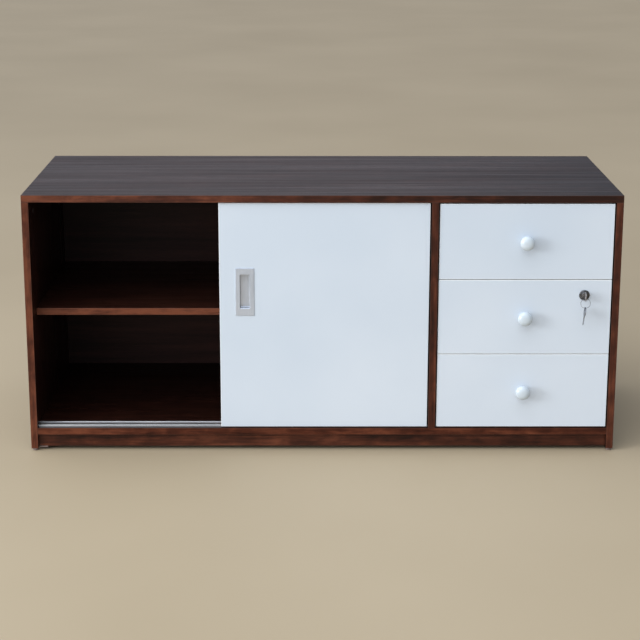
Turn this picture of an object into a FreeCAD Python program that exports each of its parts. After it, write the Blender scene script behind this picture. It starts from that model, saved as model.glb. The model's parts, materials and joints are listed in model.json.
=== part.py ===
import FreeCAD, Part
import Sketcher
import math
import os
import re

# Office credenza: a dark wood carcase with two white sliding doors that run one behind the other on
# aluminium strips, and three white drawers on telescopic runners, the middle one with a cam lock.
# Millimetres. +Z is up, the doors and drawers face -Y, and +X is to the right of someone facing them.
# The origin is on the floor, below the middle of the whole outline, which reaches from the face of
# the knobs to the rear edge of the carcase.

doc = FreeCAD.newDocument("credenza")

# Driving sizes: name, value, what it measures.
SIZES = [
    ("overall_width", 1500, "outer width of the carcase"),
    ("carcase_depth", 600, "front edge to rear edge of the boards"),
    ("overall_height", 669, "floor to the top face"),
    ("board_thickness", 18, "every carcase board"),
    ("edge_radius", 0.8, "rounding of the edge bands"),
    ("right_bay_width", 442, "clear width of the drawer bay"),
    ("glide_height", 6.5, "floor to the lower ends of the side panels"),
    ("glide_radius", 7, "round glides under the side panels"),
    ("glide_inset", 12, "side panel edge to the centre of a glide"),
    ("pad_length", 21, "pads under the left ends of the plinths"),
    ("pad_width", 14, "pads, front to rear"),
    ("pad_height", 5, "pads, below the plinth"),
    ("pad_end_gap", 2, "side panel to the pad"),
    ("plinth_clearance", 10, "floor to both plinth boards"),
    ("plinth_height", 34, "height of both plinth boards"),
    ("plinth_setback", 12, "carcase edge to the plinth face"),
    ("back_thickness", 4, "thin rear sheet"),
    ("back_rebate", 8, "how far the rear sheet reaches into the boards"),
    ("back_play", 0.5, "rear sheet to the end of its rebate"),
    ("shelf_setback", 58, "carcase front to the shelf front"),
    ("shelf_play", 0.5, "shelf end to the board beside it"),
    ("shelf_pin_radius", 2.5, "shelf pins"),
    ("shelf_pin_depth", 9, "pin inside the board"),
    ("shelf_pin_reach", 8, "pin under the shelf"),
    ("shelf_pin_inset", 45, "shelf edge to the pin"),
    ("door_width", 529, "each sliding door"),
    ("door_thickness", 18, "each sliding door"),
    ("door_setback", 6, "carcase front to the front door's face"),
    ("door_pitch", 27, "one door's middle plane to the other's"),
    ("door_end_gap", 3, "a door's edge to the bay's end, pushed home"),
    ("door_bottom_gap", 2, "bottom board to the door"),
    ("door_top_gap", 2, "door to the top board"),
    ("strip_thickness", 3, "aluminium running strips"),
    ("strip_rise", 4.5, "strip above the bottom board"),
    ("strip_depth", 8, "strip inside its kerf"),
    ("strip_end_gap", 0.5, "strip end to the bay's end"),
    ("strip_groove_play", 1.5, "strip to the side of the groove under a door"),
    ("strip_groove_height", 6, "groove under a door"),
    ("wheel_tread_radius", 9, "wheel, at the bottom of its groove"),
    ("wheel_flange_radius", 11.5, "wheel, at its flanges"),
    ("wheel_width", 8, "wheel, along its pin"),
    ("wheel_rim", 0.8, "least width of a wheel's flange at its edge"),
    ("wheel_groove_play", 0.5, "strip to a wheel flange"),
    ("wheel_running_gap", 0.3, "strip to the wheel's tread"),
    ("wheel_pin_radius", 2, "pins of the door wheels"),
    ("pin_clearance", 0.05, "pin to bore, on the radius"),
    ("carrier_length", 40, "wheel carrier, along the door"),
    ("carrier_width", 10, "wheel carrier, through the door"),
    ("carrier_height", 27, "wheel carrier, up into the door"),
    ("carrier_gap", 0.6, "wheel to the walls of its carrier"),
    ("carrier_inset", 45, "door edge to the wheel's pin"),
    ("track_margin", 8, "middle of a guide groove to the edge of the top track"),
    ("track_height", 10.5, "top track, all inside the top board"),
    ("guide_groove_width", 8, "grooves in the top track"),
    ("guide_groove_depth", 8.5, "grooves in the top track"),
    ("guide_play", 0.5, "guide to the side of its groove"),
    ("guide_length", 30, "top guides, along the door"),
    ("guide_depth", 15, "guide inside the door"),
    ("guide_rise", 8, "guide above the door"),
    ("pull_width", 47, "flush pull, outer width"),
    ("pull_height", 123, "flush pull, outer height"),
    ("pull_plate", 1.6, "flush pull, rim in front of the door"),
    ("pull_wall", 1.2, "flush pull, walls of its cup"),
    ("pull_corner", 1.5, "flush pull, corner radius"),
    ("cup_width", 25.5, "finger cup, inside width"),
    ("cup_height", 90, "finger cup, inside height"),
    ("cup_depth", 11, "finger cup, rim to floor"),
    ("cup_rise", 3, "middle of the cup above the middle of the pull"),
    ("pull_edge_distance", 64, "door edge to the middle of the pull"),
    ("pull_rise", 64.5, "middle of the pull above the middle of the door"),
    ("front_thickness", 18, "drawer fronts"),
    ("front_setback", 3, "carcase front to the drawer fronts"),
    ("front_side_gap", 3, "drawer front to the board beside it"),
    ("front_top_gap", 3.5, "top board to the upper front"),
    ("front_bottom_gap", 3, "lower front to the bottom board"),
    ("front_between_gap", 2, "one drawer front to the next"),
    ("drawer_depth", 505, "length of the drawer sides"),
    ("drawer_height", 150, "height of the drawer sides"),
    ("drawer_side_thickness", 12, "drawer sides and rear wall"),
    ("drawer_rise", 15, "lower edge of a front to the drawer sides"),
    ("drawer_floor_thickness", 5, "drawer bottoms"),
    ("drawer_floor_rise", 8, "lower edge of the sides to the bottom"),
    ("drawer_floor_groove", 5, "groove that holds the bottom"),
    ("runner_length", 500, "each member of a runner"),
    ("runner_setback", 24, "carcase front to the runners"),
    ("runner_height", 45, "outer member"),
    ("runner_thickness", 12.7, "carcase board to drawer side"),
    ("runner_gauge", 1.2, "sheet of the members"),
    ("runner_gap", 0.35, "one member to the next"),
    ("runner_step", 2.5, "web of the outer member to the intermediate one"),
    ("runner_lip", 3.5, "drawer side to the lips of the outer member"),
    ("runner_inner_gap", 1.6, "web of the intermediate member to the inner one"),
    ("runner_rise", 60, "lower edge of the drawer sides to the runner's middle"),
    ("runner_screw_inset", 45, "runner end to its screw"),
    ("knob_radius", 18.5, "largest radius of a knob"),
    ("knob_reach", 31, "drawer front to the knob's face"),
    ("knob_half_depth", 12, "half the depth of the knob's head"),
    ("knob_base_radius", 11, "knob's foot"),
    ("knob_neck_radius", 9, "knob's neck, where it meets the head"),
    ("knob_screw_radius", 2, "screw that holds the knob"),
    ("knob_screw_depth", 14, "screw inside the knob"),
    ("knob_screw_head_radius", 4.5, "head of that screw"),
    ("knob_screw_head_height", 2.5, "head of that screw"),
    ("lock_edge_distance", 68, "right edge of the middle front to the lock"),
    ("lock_drop", 39, "upper edge of the middle front to the lock"),
    ("lock_collar_radius", 13.5, "collar in front of the drawer front"),
    ("lock_collar_height", 3, "collar in front of the drawer front"),
    ("lock_collar_chamfer", 1, "bevel round the collar"),
    ("lock_barrel_radius", 9.5, "barrel inside the drawer front"),
    ("lock_barrel_tail", 9, "barrel behind the drawer front"),
    ("lock_plug_radius", 6.5, "turning plug"),
    ("lock_nut_radius", 13, "nut behind the drawer front, across its corners"),
    ("lock_nut_height", 5, "nut behind the drawer front"),
    ("lock_tail_side", 6, "square tail of the plug"),
    ("cam_thickness", 2.5, "locking cam"),
    ("cam_gap", 0.3, "barrel to the cam"),
    ("cam_width", 12, "locking cam"),
    ("cam_engagement", 9, "cam inside the lock rail"),
    ("lock_rail_depth", 60, "lock rail, front to rear"),
    ("lock_rail_gap", 3, "drawer fronts to the lock rail"),
    ("mortise_play", 1.3, "cam to the mortise, before and behind it"),
    ("mortise_end_play", 4, "cam to the mortise, above and beside it"),
    ("key_thickness", 2, "key"),
    ("key_bow_radius", 12, "round bow of the key"),
    ("key_hole_radius", 4.5, "hole in the bow"),
    ("key_hole_offset", 6, "middle of the bow to the hole, away from the blade"),
    ("key_shoulder_width", 9, "shoulder that meets the plug"),
    ("key_shoulder_length", 3, "shoulder beyond the bow"),
    ("key_blade_width", 6, "blade"),
    ("key_blade_length", 20, "blade beyond the shoulder"),
    ("key_notch_depth", 1.6, "cuts in the blade"),
    ("key_notch_pitch", 4, "one cut to the next"),
    ("key_notch_count", 3, "cuts in the blade"),
    ("keyway_play", 0.3, "key to the sides of the keyway"),
    ("key_ring_radius", 12.2, "ring, to the middle of its wire"),
    ("key_ring_wire", 0.8, "radius of the ring's wire"),
    ("key_ring_play", 0.2, "wire to the edge of a key's hole"),
    ("spare_key_lean", 6, "degrees that the spare key leans to the left"),
    ("dowel_radius", 4, "wooden dowels"),
    ("dowel_half_length", 13, "dowel on each side of the joint"),
    ("dowel_step", 32, "cam fitting to its dowel"),
    ("cam_housing_radius", 7.5, "housings of the carcase fittings"),
    ("cam_housing_depth", 12.5, "housings of the carcase fittings"),
    ("cam_housing_distance", 34, "board end to the middle of a housing"),
    ("cam_bolt_radius", 3.5, "bolts of the carcase fittings"),
    ("cam_bolt_grip", 11, "bolt inside the other board"),
    ("fitting_inset", 70, "carcase edge to the first fitting"),
    ("rail_dowel_inset", 15, "lock rail edge to its dowel"),
    ("screw_radius", 1.75, "wood screws"),
    ("screw_depth", 11, "wood screw inside the board"),
    ("screw_head_radius", 3.5, "wood screw heads"),
    ("screw_head_height", 1.5, "wood screw heads"),
    ("back_screw_count", 6, "screws along each long edge of the rear sheet"),
    ("hole_play", 0.05, "fastener to its hole, on the radius"),
]

# Places and sizes that follow from the driving ones: name, formula.
PLACES = [
    ("knob_overhang", "knob_reach - front_setback"),
    ("x_left", "-overall_width / 2"),
    ("x_right", "overall_width / 2"),
    ("x_bay_left", "x_left + board_thickness"),
    ("x_bay_right", "x_right - board_thickness"),
    ("x_divider_right", "x_bay_right - right_bay_width"),
    ("x_divider_left", "x_divider_right - board_thickness"),
    ("left_bay_width", "x_divider_left - x_bay_left"),
    ("y_front", "(knob_overhang - carcase_depth) / 2"),
    ("y_back", "y_front + carcase_depth"),
    ("y_back_sheet", "y_back - back_thickness"),
    ("z_under_bottom", "plinth_clearance + plinth_height"),
    ("z_bottom", "z_under_bottom + board_thickness"),
    ("z_ceiling", "overall_height - board_thickness"),
    ("bay_height", "z_ceiling - z_bottom"),
    ("shelf_length", "left_bay_width - 2 * shelf_play"),
    ("z_shelf", "z_bottom + (bay_height - board_thickness) / 2"),
    ("x_door", "x_divider_left - door_end_gap - door_width"),
    ("door_height", "bay_height - door_bottom_gap - door_top_gap"),
    ("z_door", "z_bottom + door_bottom_gap"),
    ("z_door_top", "z_door + door_height"),
    ("y_front_door", "y_front + door_setback + door_thickness / 2"),
    ("y_rear_door", "y_front_door + door_pitch"),
    ("z_strip_top", "z_bottom + strip_rise"),
    ("z_wheel", "z_strip_top + wheel_running_gap + wheel_tread_radius"),
    ("wheel_groove_half", "strip_thickness / 2 + wheel_groove_play"),
    ("z_pull", "z_door + door_height / 2 + pull_rise"),
    ("front_width", "right_bay_width - 2 * front_side_gap"),
    ("fronts_height", "bay_height - front_top_gap - front_bottom_gap - 2 * front_between_gap"),
    ("front_height", "fronts_height / 3"),
    ("front_step", "front_height + front_between_gap"),
    ("x_front", "x_divider_right + front_side_gap"),
    ("y_drawer_face", "y_front + front_setback"),
    ("y_drawer", "y_drawer_face + front_thickness"),
    ("z_lower_front", "z_bottom + front_bottom_gap"),
    ("z_middle_front", "z_lower_front + front_step"),
    ("z_upper_front", "z_middle_front + front_step"),
    ("drawer_width", "right_bay_width - 2 * runner_thickness"),
    ("x_drawer", "x_divider_right + runner_thickness"),
    ("x_drawer_right", "x_drawer + drawer_width"),
    ("y_runner", "y_front + runner_setback"),
    ("x_lock", "x_front + front_width - lock_edge_distance"),
    ("z_lock", "z_middle_front + front_height - lock_drop"),
    ("y_lock_face", "y_drawer_face - lock_collar_height"),
    ("z_lock_rail", "z_upper_front - (front_between_gap + board_thickness) / 2"),
    ("y_lock_rail", "y_drawer + lock_rail_gap"),
    ("y_cam", "y_drawer + lock_barrel_tail + cam_gap"),
    ("cam_length", "z_lock_rail - z_lock + cam_engagement"),
    ("y_key_bow", "y_lock_face - key_shoulder_length - key_bow_radius"),
    ("y_key_hole", "y_key_bow - key_hole_offset"),
    ("ring_sag", "key_hole_radius - key_ring_wire - key_ring_play"),
    ("z_ring", "z_lock - ring_sag - key_ring_radius"),
    ("z_spare_pivot", "z_ring - key_ring_radius"),
    ("y_fitting_front", "y_front + fitting_inset"),
    ("y_fitting_back", "y_back - fitting_inset"),
]

ALONG_X = FreeCAD.Rotation(FreeCAD.Vector(0, 1, 0), 90)
ALONG_Y = FreeCAD.Rotation(FreeCAD.Vector(1, 0, 0), -90)
ALONG_Z = FreeCAD.Rotation()
OUT_OF_FRONT = FreeCAD.Rotation(FreeCAD.Vector(1, 0, 0), 90)
INTO_LEFT = FreeCAD.Rotation(FreeCAD.Vector(0, 1, 0), -90)


def fill_sheet():
    """Put the driving sizes in the spreadsheet, one row each."""
    sheet = doc.addObject("Spreadsheet::Sheet", "Sizes")
    for row, (name, number, meaning) in enumerate(SIZES, start=1):
        sheet.set(f"A{row}", name)
        sheet.set(f"B{row}", str(number))
        sheet.set(f"C{row}", meaning)
        sheet.setAlias(f"B{row}", name)
    doc.recompute()


def fill_places():
    """Bind every place to its formula."""
    holder = doc.addObject("App::VarSet", "Places")
    for name, formula in PLACES:
        holder.addProperty("App::PropertyFloat", name)
        holder.setExpression(name, bound(formula))
    doc.recompute()
    return holder


HOMES = {name: "Sizes" for name, number, meaning in SIZES}
HOMES.update({name: "Places" for name, formula in PLACES})


def bound(formula):
    """The formula as an expression, each name preceded by the object that holds it."""
    def with_home(match):
        word = match.group(0)
        return f"{HOMES[word]}.{word}" if word in HOMES else word
    return re.sub(r"[a-z_]+", with_home, formula)


fill_sheet()
places = fill_places()


def value(formula):
    """The formula as a plain number."""
    return float(places.evalExpression(bound(formula)))


def bind(thing, **formulas):
    for name, formula in formulas.items():
        thing.setExpression(name, bound(formula))


def put(thing, x, y, z, rotation=ALONG_Z):
    """Give an object its place and its direction."""
    thing.Placement = FreeCAD.Placement(FreeCAD.Vector(), rotation)
    for letter, formula in (("x", x), ("y", y), ("z", z)):
        thing.setExpression(f"Placement.Base.{letter}", bound(formula))
    return thing


def box(name, size, corner):
    """A block with its lowest corner at the given place."""
    block = doc.addObject("Part::Box", name)
    bind(block, Length=size[0], Width=size[1], Height=size[2])
    return put(block, *corner)


def rod(name, radius, length, start, rotation=ALONG_Z):
    """A cylinder that leaves its start along the rotated Z axis."""
    bar = doc.addObject("Part::Cylinder", name)
    bind(bar, Radius=radius, Height=length)
    return put(bar, *start, rotation)


def together(name, pieces):
    """Separate solids under one label."""
    bundle = doc.addObject("Part::Compound", name)
    bundle.Links = pieces
    return bundle


def joined(name, pieces):
    whole = doc.addObject("Part::MultiFuse", name)
    whole.Shapes = pieces
    return whole


def cut(name, base, tools):
    """The base without the tools."""
    result = doc.addObject("Part::Cut", name)
    result.Base = base
    result.Tool = tools[0] if len(tools) == 1 else together(f"{name}_cuts", tools)
    return result


def eased(block):
    """A block with all its edges rounded as an edge band is."""
    doc.recompute()
    radius = value("edge_radius")
    soft = doc.addObject("Part::Fillet", f"{block.Name}_eased")
    soft.Base = block
    soft.Edges = [(number, radius, radius) for number in range(1, len(block.Shape.Edges) + 1)]
    return soft


def board(name, size, corner, cuts=()):
    """A board with eased edges, less the cuts made in it."""
    blank = eased(box(f"{name}_blank", size, corner))
    if not cuts:
        blank.Label = name
        return blank
    return cut(name, blank, list(cuts))


# ---- sketch helpers ------------------------------------------------------------------------------


def sketch_on(body, name, role="XY_Plane"):
    """A sketch on one of the body's own origin planes."""
    sketch = body.newObject("Sketcher::SketchObject", name)
    plane = next(item for item in body.Origin.OriginFeatures if item.Role == role)
    sketch.AttachmentSupport = [(plane, "")]
    sketch.MapMode = "FlatFace"
    return sketch


def drive(sketch, kind, where, formula):
    """A dimension of the sketch that follows a formula."""
    number = sketch.addConstraint(Sketcher.Constraint(kind, *where, value(formula)))
    sketch.setExpression(f"Constraints[{number}]", bound(formula))


def outline(sketch, points):
    """A closed outline through points that are given as pairs of formulas."""
    corners = [FreeCAD.Vector(value(across), value(along), 0) for across, along in points]
    for start, end in zip(corners, corners[1:] + corners[:1]):
        sketch.addGeometry(Part.LineSegment(start, end), False)
    for index in range(len(points)):
        after = (index + 1) % len(points)
        sketch.addConstraint(Sketcher.Constraint("Coincident", index, 2, after, 1))
    for index, (across, along) in enumerate(points):
        drive(sketch, "DistanceX", (-1, 1, index, 1), across)
        drive(sketch, "DistanceY", (-1, 1, index, 1), along)


def rectangle(sketch, width, height, middle_across="0", middle_along="0"):
    """A rectangle about its middle."""
    left, right = f"{middle_across} - ({width}) / 2", f"{middle_across} + ({width}) / 2"
    low, high = f"{middle_along} - ({height}) / 2", f"{middle_along} + ({height}) / 2"
    outline(sketch, [(left, low), (right, low), (right, high), (left, high)])


def disc(sketch, radius, drop="0"):
    """A circle on the sketch's upright axis, a drop below its origin."""
    centre = FreeCAD.Vector(0, -value(drop), 0)
    sketch.addGeometry(Part.Circle(centre, FreeCAD.Vector(0, 0, 1), value(radius)), False)
    sketch.addConstraint(Sketcher.Constraint("PointOnObject", 0, 3, -2))
    drive(sketch, "DistanceY", (0, 3, -1, 1), drop)
    drive(sketch, "Radius", (0,), radius)


def pad(body, sketch, length, backwards=False):
    feature = body.newObject("PartDesign::Pad", f"{sketch.Name}_pad")
    feature.Profile = sketch
    feature.Reversed = backwards
    bind(feature, Length=length)
    doc.recompute()
    return feature


def pocket(body, sketch, length, backwards=False):
    """A pocket that must take something away."""
    doc.recompute()
    before = body.Shape.Volume
    feature = body.newObject("PartDesign::Pocket", f"{sketch.Name}_pocket")
    feature.Profile = sketch
    feature.Reversed = backwards
    bind(feature, Length=length)
    doc.recompute()
    if not body.Shape.Volume < before:
        raise RuntimeError(f"{feature.Name} cuts nothing")
    return feature


def revolve(body, sketch):
    """Turn the sketch about its own vertical axis."""
    feature = body.newObject("PartDesign::Revolution", f"{sketch.Name}_turned")
    feature.Profile = sketch
    feature.ReferenceAxis = (sketch, ["V_Axis"])
    feature.Angle = 360
    doc.recompute()
    return feature


def upright_edges(shape):
    """Names of the straight edges that run along the local Z axis."""
    names = []
    for number, edge in enumerate(shape.Edges, start=1):
        step = edge.Vertexes[-1].Point - edge.Vertexes[0].Point
        if math.hypot(step.x, step.y) < 1e-6 < abs(step.z):
            names.append(f"Edge{number}")
    return names


def round_uprights(body, name, radius):
    """Round the corners of what has been padded so far."""
    base = body.Tip
    feature = body.newObject("PartDesign::Fillet", name)
    feature.Base = (base, upright_edges(base.Shape))
    bind(feature, Radius=radius)
    doc.recompute()
    return feature


# ---- holes and fasteners -------------------------------------------------------------------------

# The holes that fasteners need in each board or sheet, and the fasteners themselves.
holes = {}
dowels = []
fittings = []
screws = []


def hole(piece, radius, length, start, rotation):
    """A hole in a piece, a little wider than what it holds."""
    made = holes.setdefault(piece, [])
    made.append(rod(f"{piece}_hole_{len(made) + 1}", f"{radius} + hole_play", length, start, rotation))


def dowel(first, second, x, y, z, rotation):
    """A dowel across the joint of two boards; x, y, z lie in the joint's plane."""
    axis = rotation.multVec(FreeCAD.Vector(0, 0, 1))
    steps = [f" - dowel_half_length * {round(part)}" for part in axis]
    start = [formula + step for formula, step in zip((x, y, z), steps)]
    length = "2 * dowel_half_length"
    dowels.append(rod(f"dowel_{len(dowels) + 1}", "dowel_radius", length, start, rotation))
    for piece in (first, second):
        hole(piece, "dowel_radius", length, start, rotation)


def upright_fitting(upright, level, x_face, inwards, y, z_joint, up):
    """A cam fitting that pulls an upright board against a level one above (up 1) or below (up -1)."""
    number = len(fittings) + 1
    z_housing = f"{z_joint} - {up} * cam_housing_distance"
    x_start = x_face if inwards > 0 else f"{x_face} - cam_housing_depth"
    x_middle = f"{x_face} + {inwards} * board_thickness / 2"
    centre = (x_start, y, z_housing)
    housing = rod(f"fitting_{number}", "cam_housing_radius", "cam_housing_depth", centre, ALONG_X)
    hole(upright, "cam_housing_radius", "cam_housing_depth", centre, ALONG_X)
    gap = "cam_housing_radius + 2 * hole_play"
    length = f"cam_housing_distance + cam_bolt_grip - ({gap})"
    z_start = f"{z_housing} + {gap}" if up > 0 else f"{z_joint} - cam_bolt_grip"
    start = (x_middle, y, z_start)
    bolt = rod(f"fitting_bolt_{number}", "cam_bolt_radius", length, start, ALONG_Z)
    for piece in (upright, level):
        hole(piece, "cam_bolt_radius", length, start, ALONG_Z)
    fittings.extend([housing, bolt])


def level_fitting(level, upright, x_joint, outwards, y, z_face):
    """A cam fitting let into the underside of a level board, that pulls it against an upright one."""
    number = len(fittings) + 1
    x_housing = f"{x_joint} - {outwards} * cam_housing_distance"
    centre = (x_housing, y, z_face)
    housing = rod(f"fitting_{number}", "cam_housing_radius", "cam_housing_depth", centre, ALONG_Z)
    hole(level, "cam_housing_radius", "cam_housing_depth", centre, ALONG_Z)
    gap = "cam_housing_radius + 2 * hole_play"
    length = f"cam_housing_distance + cam_bolt_grip - ({gap})"
    x_start = f"{x_housing} + {gap}" if outwards > 0 else f"{x_joint} - cam_bolt_grip"
    start = (x_start, y, f"{z_face} + board_thickness / 2")
    bolt = rod(f"fitting_bolt_{number}", "cam_bolt_radius", length, start, ALONG_X)
    for piece in (level, upright):
        hole(piece, "cam_bolt_radius", length, start, ALONG_X)
    fittings.extend([housing, bolt])


def screw(name, start, rotation, shank="screw_depth", radius="screw_radius",
          head_radius="screw_head_radius", head_height="screw_head_height"):
    """A screw whose head sits on a surface at the start and whose shank goes on from there."""
    back = rotation.multVec(FreeCAD.Vector(0, 0, -1))
    head_start = [f"{formula} + {round(part)} * ({head_height})" for formula, part in zip(start, back)]
    head = rod(f"{name}_head", head_radius, head_height, head_start, rotation)
    stem = rod(f"{name}_stem", radius, shank, start, rotation)
    return joined(name, [head, stem])


# ---- carcase fasteners ---------------------------------------------------------------------------


def fasten_carcase():
    """Fittings and dowels that hold the boards to one another."""
    uprights = [
        ("left_side_panel", "x_bay_left", -1),
        ("right_side_panel", "x_bay_right", 1),
        ("centre_divider", "x_divider_right", -1),
    ]
    for y, turn in (("y_fitting_front", 1), ("y_fitting_back", -1)):
        y_dowel = f"{y} + {turn} * dowel_step"
        for upright, x_face, inwards in uprights:
            x_middle = f"{x_face} + {inwards} * board_thickness / 2"
            upright_fitting(upright, "top_panel", x_face, inwards, y, "z_ceiling", 1)
            dowel(upright, "top_panel", x_middle, y_dowel, "z_ceiling", ALONG_Z)
        upright_fitting("centre_divider", "bottom_panel", "x_divider_right", -1, y, "z_bottom", -1)
        x_middle = "x_divider_right - board_thickness / 2"
        dowel("centre_divider", "bottom_panel", x_middle, y_dowel, "z_bottom", ALONG_Z)
        for upright, x_joint, outwards in (("left_side_panel", "x_bay_left", -1),
                                           ("right_side_panel", "x_bay_right", 1)):
            level_fitting("bottom_panel", upright, x_joint, outwards, y, "z_under_bottom")
            z_middle = "z_under_bottom + board_thickness / 2"
            dowel("bottom_panel", upright, x_joint, y_dowel, z_middle, ALONG_X)
    z_plinth = "plinth_clearance + plinth_height / 2"
    y_front_plinth = "y_front + plinth_setback + board_thickness / 2"
    y_rear_plinth = "y_back - plinth_setback - board_thickness / 2"
    for plinth, y in (("front_plinth", y_front_plinth), ("rear_plinth", y_rear_plinth)):
        dowel(plinth, "left_side_panel", "x_bay_left", y, z_plinth, ALONG_X)
        dowel(plinth, "right_side_panel", "x_bay_right", y, z_plinth, ALONG_X)
    z_rail = "z_lock_rail + board_thickness / 2"
    for y in ("y_lock_rail + rail_dowel_inset", "y_lock_rail + lock_rail_depth - rail_dowel_inset"):
        dowel("lock_rail", "centre_divider", "x_divider_right", y, z_rail, ALONG_X)
        dowel("lock_rail", "right_side_panel", "x_bay_right", y, z_rail, ALONG_X)


def fasten_back():
    """Screws round the rear sheet, driven forwards into the boards."""
    half_rebate = "back_rebate / 2"
    head_radius = "screw_head_radius - back_play"
    spots = []
    count = int(value("back_screw_count"))
    for index in range(count):
        x = f"x_left + overall_width * {2 * index + 1} / {2 * count}"
        spots.append(("top_panel", x, f"z_ceiling + {half_rebate}"))
        spots.append(("bottom_panel", x, f"z_bottom - {half_rebate}"))
    z_middle = "z_bottom + bay_height / 2"
    spots.append(("left_side_panel", f"x_bay_left - {half_rebate}", z_middle))
    spots.append(("right_side_panel", f"x_bay_right + {half_rebate}", z_middle))
    for index, (piece, x, z) in enumerate(spots, start=1):
        start = (x, "y_back - screw_head_height", z)
        length = "back_thickness - screw_head_height + screw_depth"
        screws.append(screw(f"back_screw_{index}", start, OUT_OF_FRONT, length, head_radius=head_radius))
        hole(piece, "screw_radius", length, start, OUT_OF_FRONT)
        hole("back_panel", "screw_radius", length, start, OUT_OF_FRONT)
        hole("back_panel", head_radius, "screw_head_height", (x, "y_back", z), OUT_OF_FRONT)


# ---- carcase -------------------------------------------------------------------------------------


def top_panel():
    recess = box("top_track_recess", ("left_bay_width", "door_pitch + 2 * track_margin", "track_height"),
                 ("x_bay_left", "y_front_door - track_margin", "z_ceiling"))
    rebate = box("top_panel_rebate",
                 ("overall_width - 2 * (board_thickness - back_rebate)", "back_thickness", "back_rebate"),
                 ("x_bay_left - back_rebate", "y_back_sheet", "z_ceiling"))
    return board("top_panel", ("overall_width", "carcase_depth", "board_thickness"),
                 ("x_left", "y_front", "z_ceiling"), [recess, rebate] + holes["top_panel"])


def side_panel(name, x, x_rebate):
    rebate = box(f"{name}_rebate", ("back_rebate", "back_thickness", "z_ceiling - z_bottom + back_rebate"),
                 (x_rebate, "y_back_sheet", "z_bottom - back_rebate"))
    return board(name, ("board_thickness", "carcase_depth", "z_ceiling - glide_height"),
                 (x, "y_front", "glide_height"), [rebate] + holes[name])


def centre_divider():
    return board("centre_divider", ("board_thickness", "carcase_depth - back_thickness", "bay_height"),
                 ("x_divider_left", "y_front", "z_bottom"), holes["centre_divider"])


DOOR_MIDDLES = ("y_front_door", "y_rear_door")


def strip_place(y_door):
    """Size and corner of the running strip below a door."""
    size = ("left_bay_width - 2 * strip_end_gap", "strip_thickness", "strip_depth + strip_rise")
    corner = ("x_bay_left + strip_end_gap", f"{y_door} - strip_thickness / 2", "z_bottom - strip_depth")
    return size, corner


def bottom_panel():
    """The board under both bays, with a kerf for each running strip."""
    length = "(overall_width - 2 * board_thickness)"
    cuts = [box(f"bottom_kerf_{y_door}", *strip_place(y_door)) for y_door in DOOR_MIDDLES]
    cuts.append(box("bottom_panel_rebate", (length, "back_thickness", "back_rebate"),
                    ("x_bay_left", "y_back_sheet", "z_bottom - back_rebate")))
    return board("bottom_panel", (length, "carcase_depth", "board_thickness"),
                 ("x_bay_left", "y_front", "z_under_bottom"), cuts + holes["bottom_panel"])


def back_panel():
    sheet = box("back_panel_blank",
                ("overall_width - 2 * (board_thickness - back_rebate + back_play)", "back_thickness",
                 "bay_height + 2 * (back_rebate - back_play)"),
                ("x_bay_left - back_rebate + back_play", "y_back_sheet",
                 "z_bottom - back_rebate + back_play"))
    return cut("back_panel", sheet, holes["back_panel"])


def plinth(name, y):
    return board(name, ("overall_width - 2 * board_thickness", "board_thickness", "plinth_height"),
                 ("x_bay_left", y, "plinth_clearance"), holes[name])


def lock_rail():
    mortise = box("lock_rail_mortise",
                  ("cam_length + cam_width / 2 + 2 * mortise_end_play", "cam_thickness + 2 * mortise_play",
                   "cam_engagement + mortise_end_play"),
                  ("x_lock - cam_length - mortise_end_play", "y_cam - mortise_play", "z_lock_rail"))
    return board("lock_rail", ("right_bay_width", "lock_rail_depth", "board_thickness"),
                 ("x_divider_right", "y_lock_rail", "z_lock_rail"), [mortise] + holes["lock_rail"])


def shelf():
    return board("shelf", ("shelf_length", "carcase_depth - shelf_setback - back_thickness - shelf_play",
                           "board_thickness"),
                 ("x_bay_left + shelf_play", "y_front + shelf_setback", "z_shelf"))


def shelf_pins():
    """Four pins, half in the boards and half under the shelf."""
    pins = []
    length = "shelf_pin_depth + shelf_pin_reach"
    for piece, x in (("left_side_panel", "x_bay_left - shelf_pin_depth"),
                     ("centre_divider", "x_divider_left - shelf_pin_reach")):
        for y in ("y_front + shelf_setback + shelf_pin_inset", "y_back_sheet - shelf_pin_inset"):
            start = (x, y, "z_shelf - shelf_pin_radius")
            pins.append(rod(f"shelf_pin_{len(pins) + 1}", "shelf_pin_radius", length, start, ALONG_X))
            hole(piece, "shelf_pin_radius", length, start, ALONG_X)
    return together("shelf_pins", pins)


def door_strips():
    strips = [box(f"strip_{y_door}", *strip_place(y_door)) for y_door in DOOR_MIDDLES]
    return together("door_strips", strips)


def top_track():
    """A profile with two grooves that open downwards, let into the top board."""
    body = doc.addObject("PartDesign::Body", "top_track")
    profile = sketch_on(body, "top_track_profile", "YZ_Plane")
    half = "guide_groove_width / 2"
    roof = "guide_groove_depth"
    points = [("-track_margin", "0"), ("-track_margin", "track_height")]
    points += [("door_pitch + track_margin", "track_height"), ("door_pitch + track_margin", "0")]
    for middle in ("door_pitch", "0"):
        points += [(f"{middle} + {half}", "0"), (f"{middle} + {half}", roof)]
        points += [(f"{middle} - {half}", roof), (f"{middle} - {half}", "0")]
    outline(profile, points)
    pad(body, profile, "left_bay_width")
    return put(body, "x_bay_left", "y_front_door", "z_ceiling")


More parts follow.
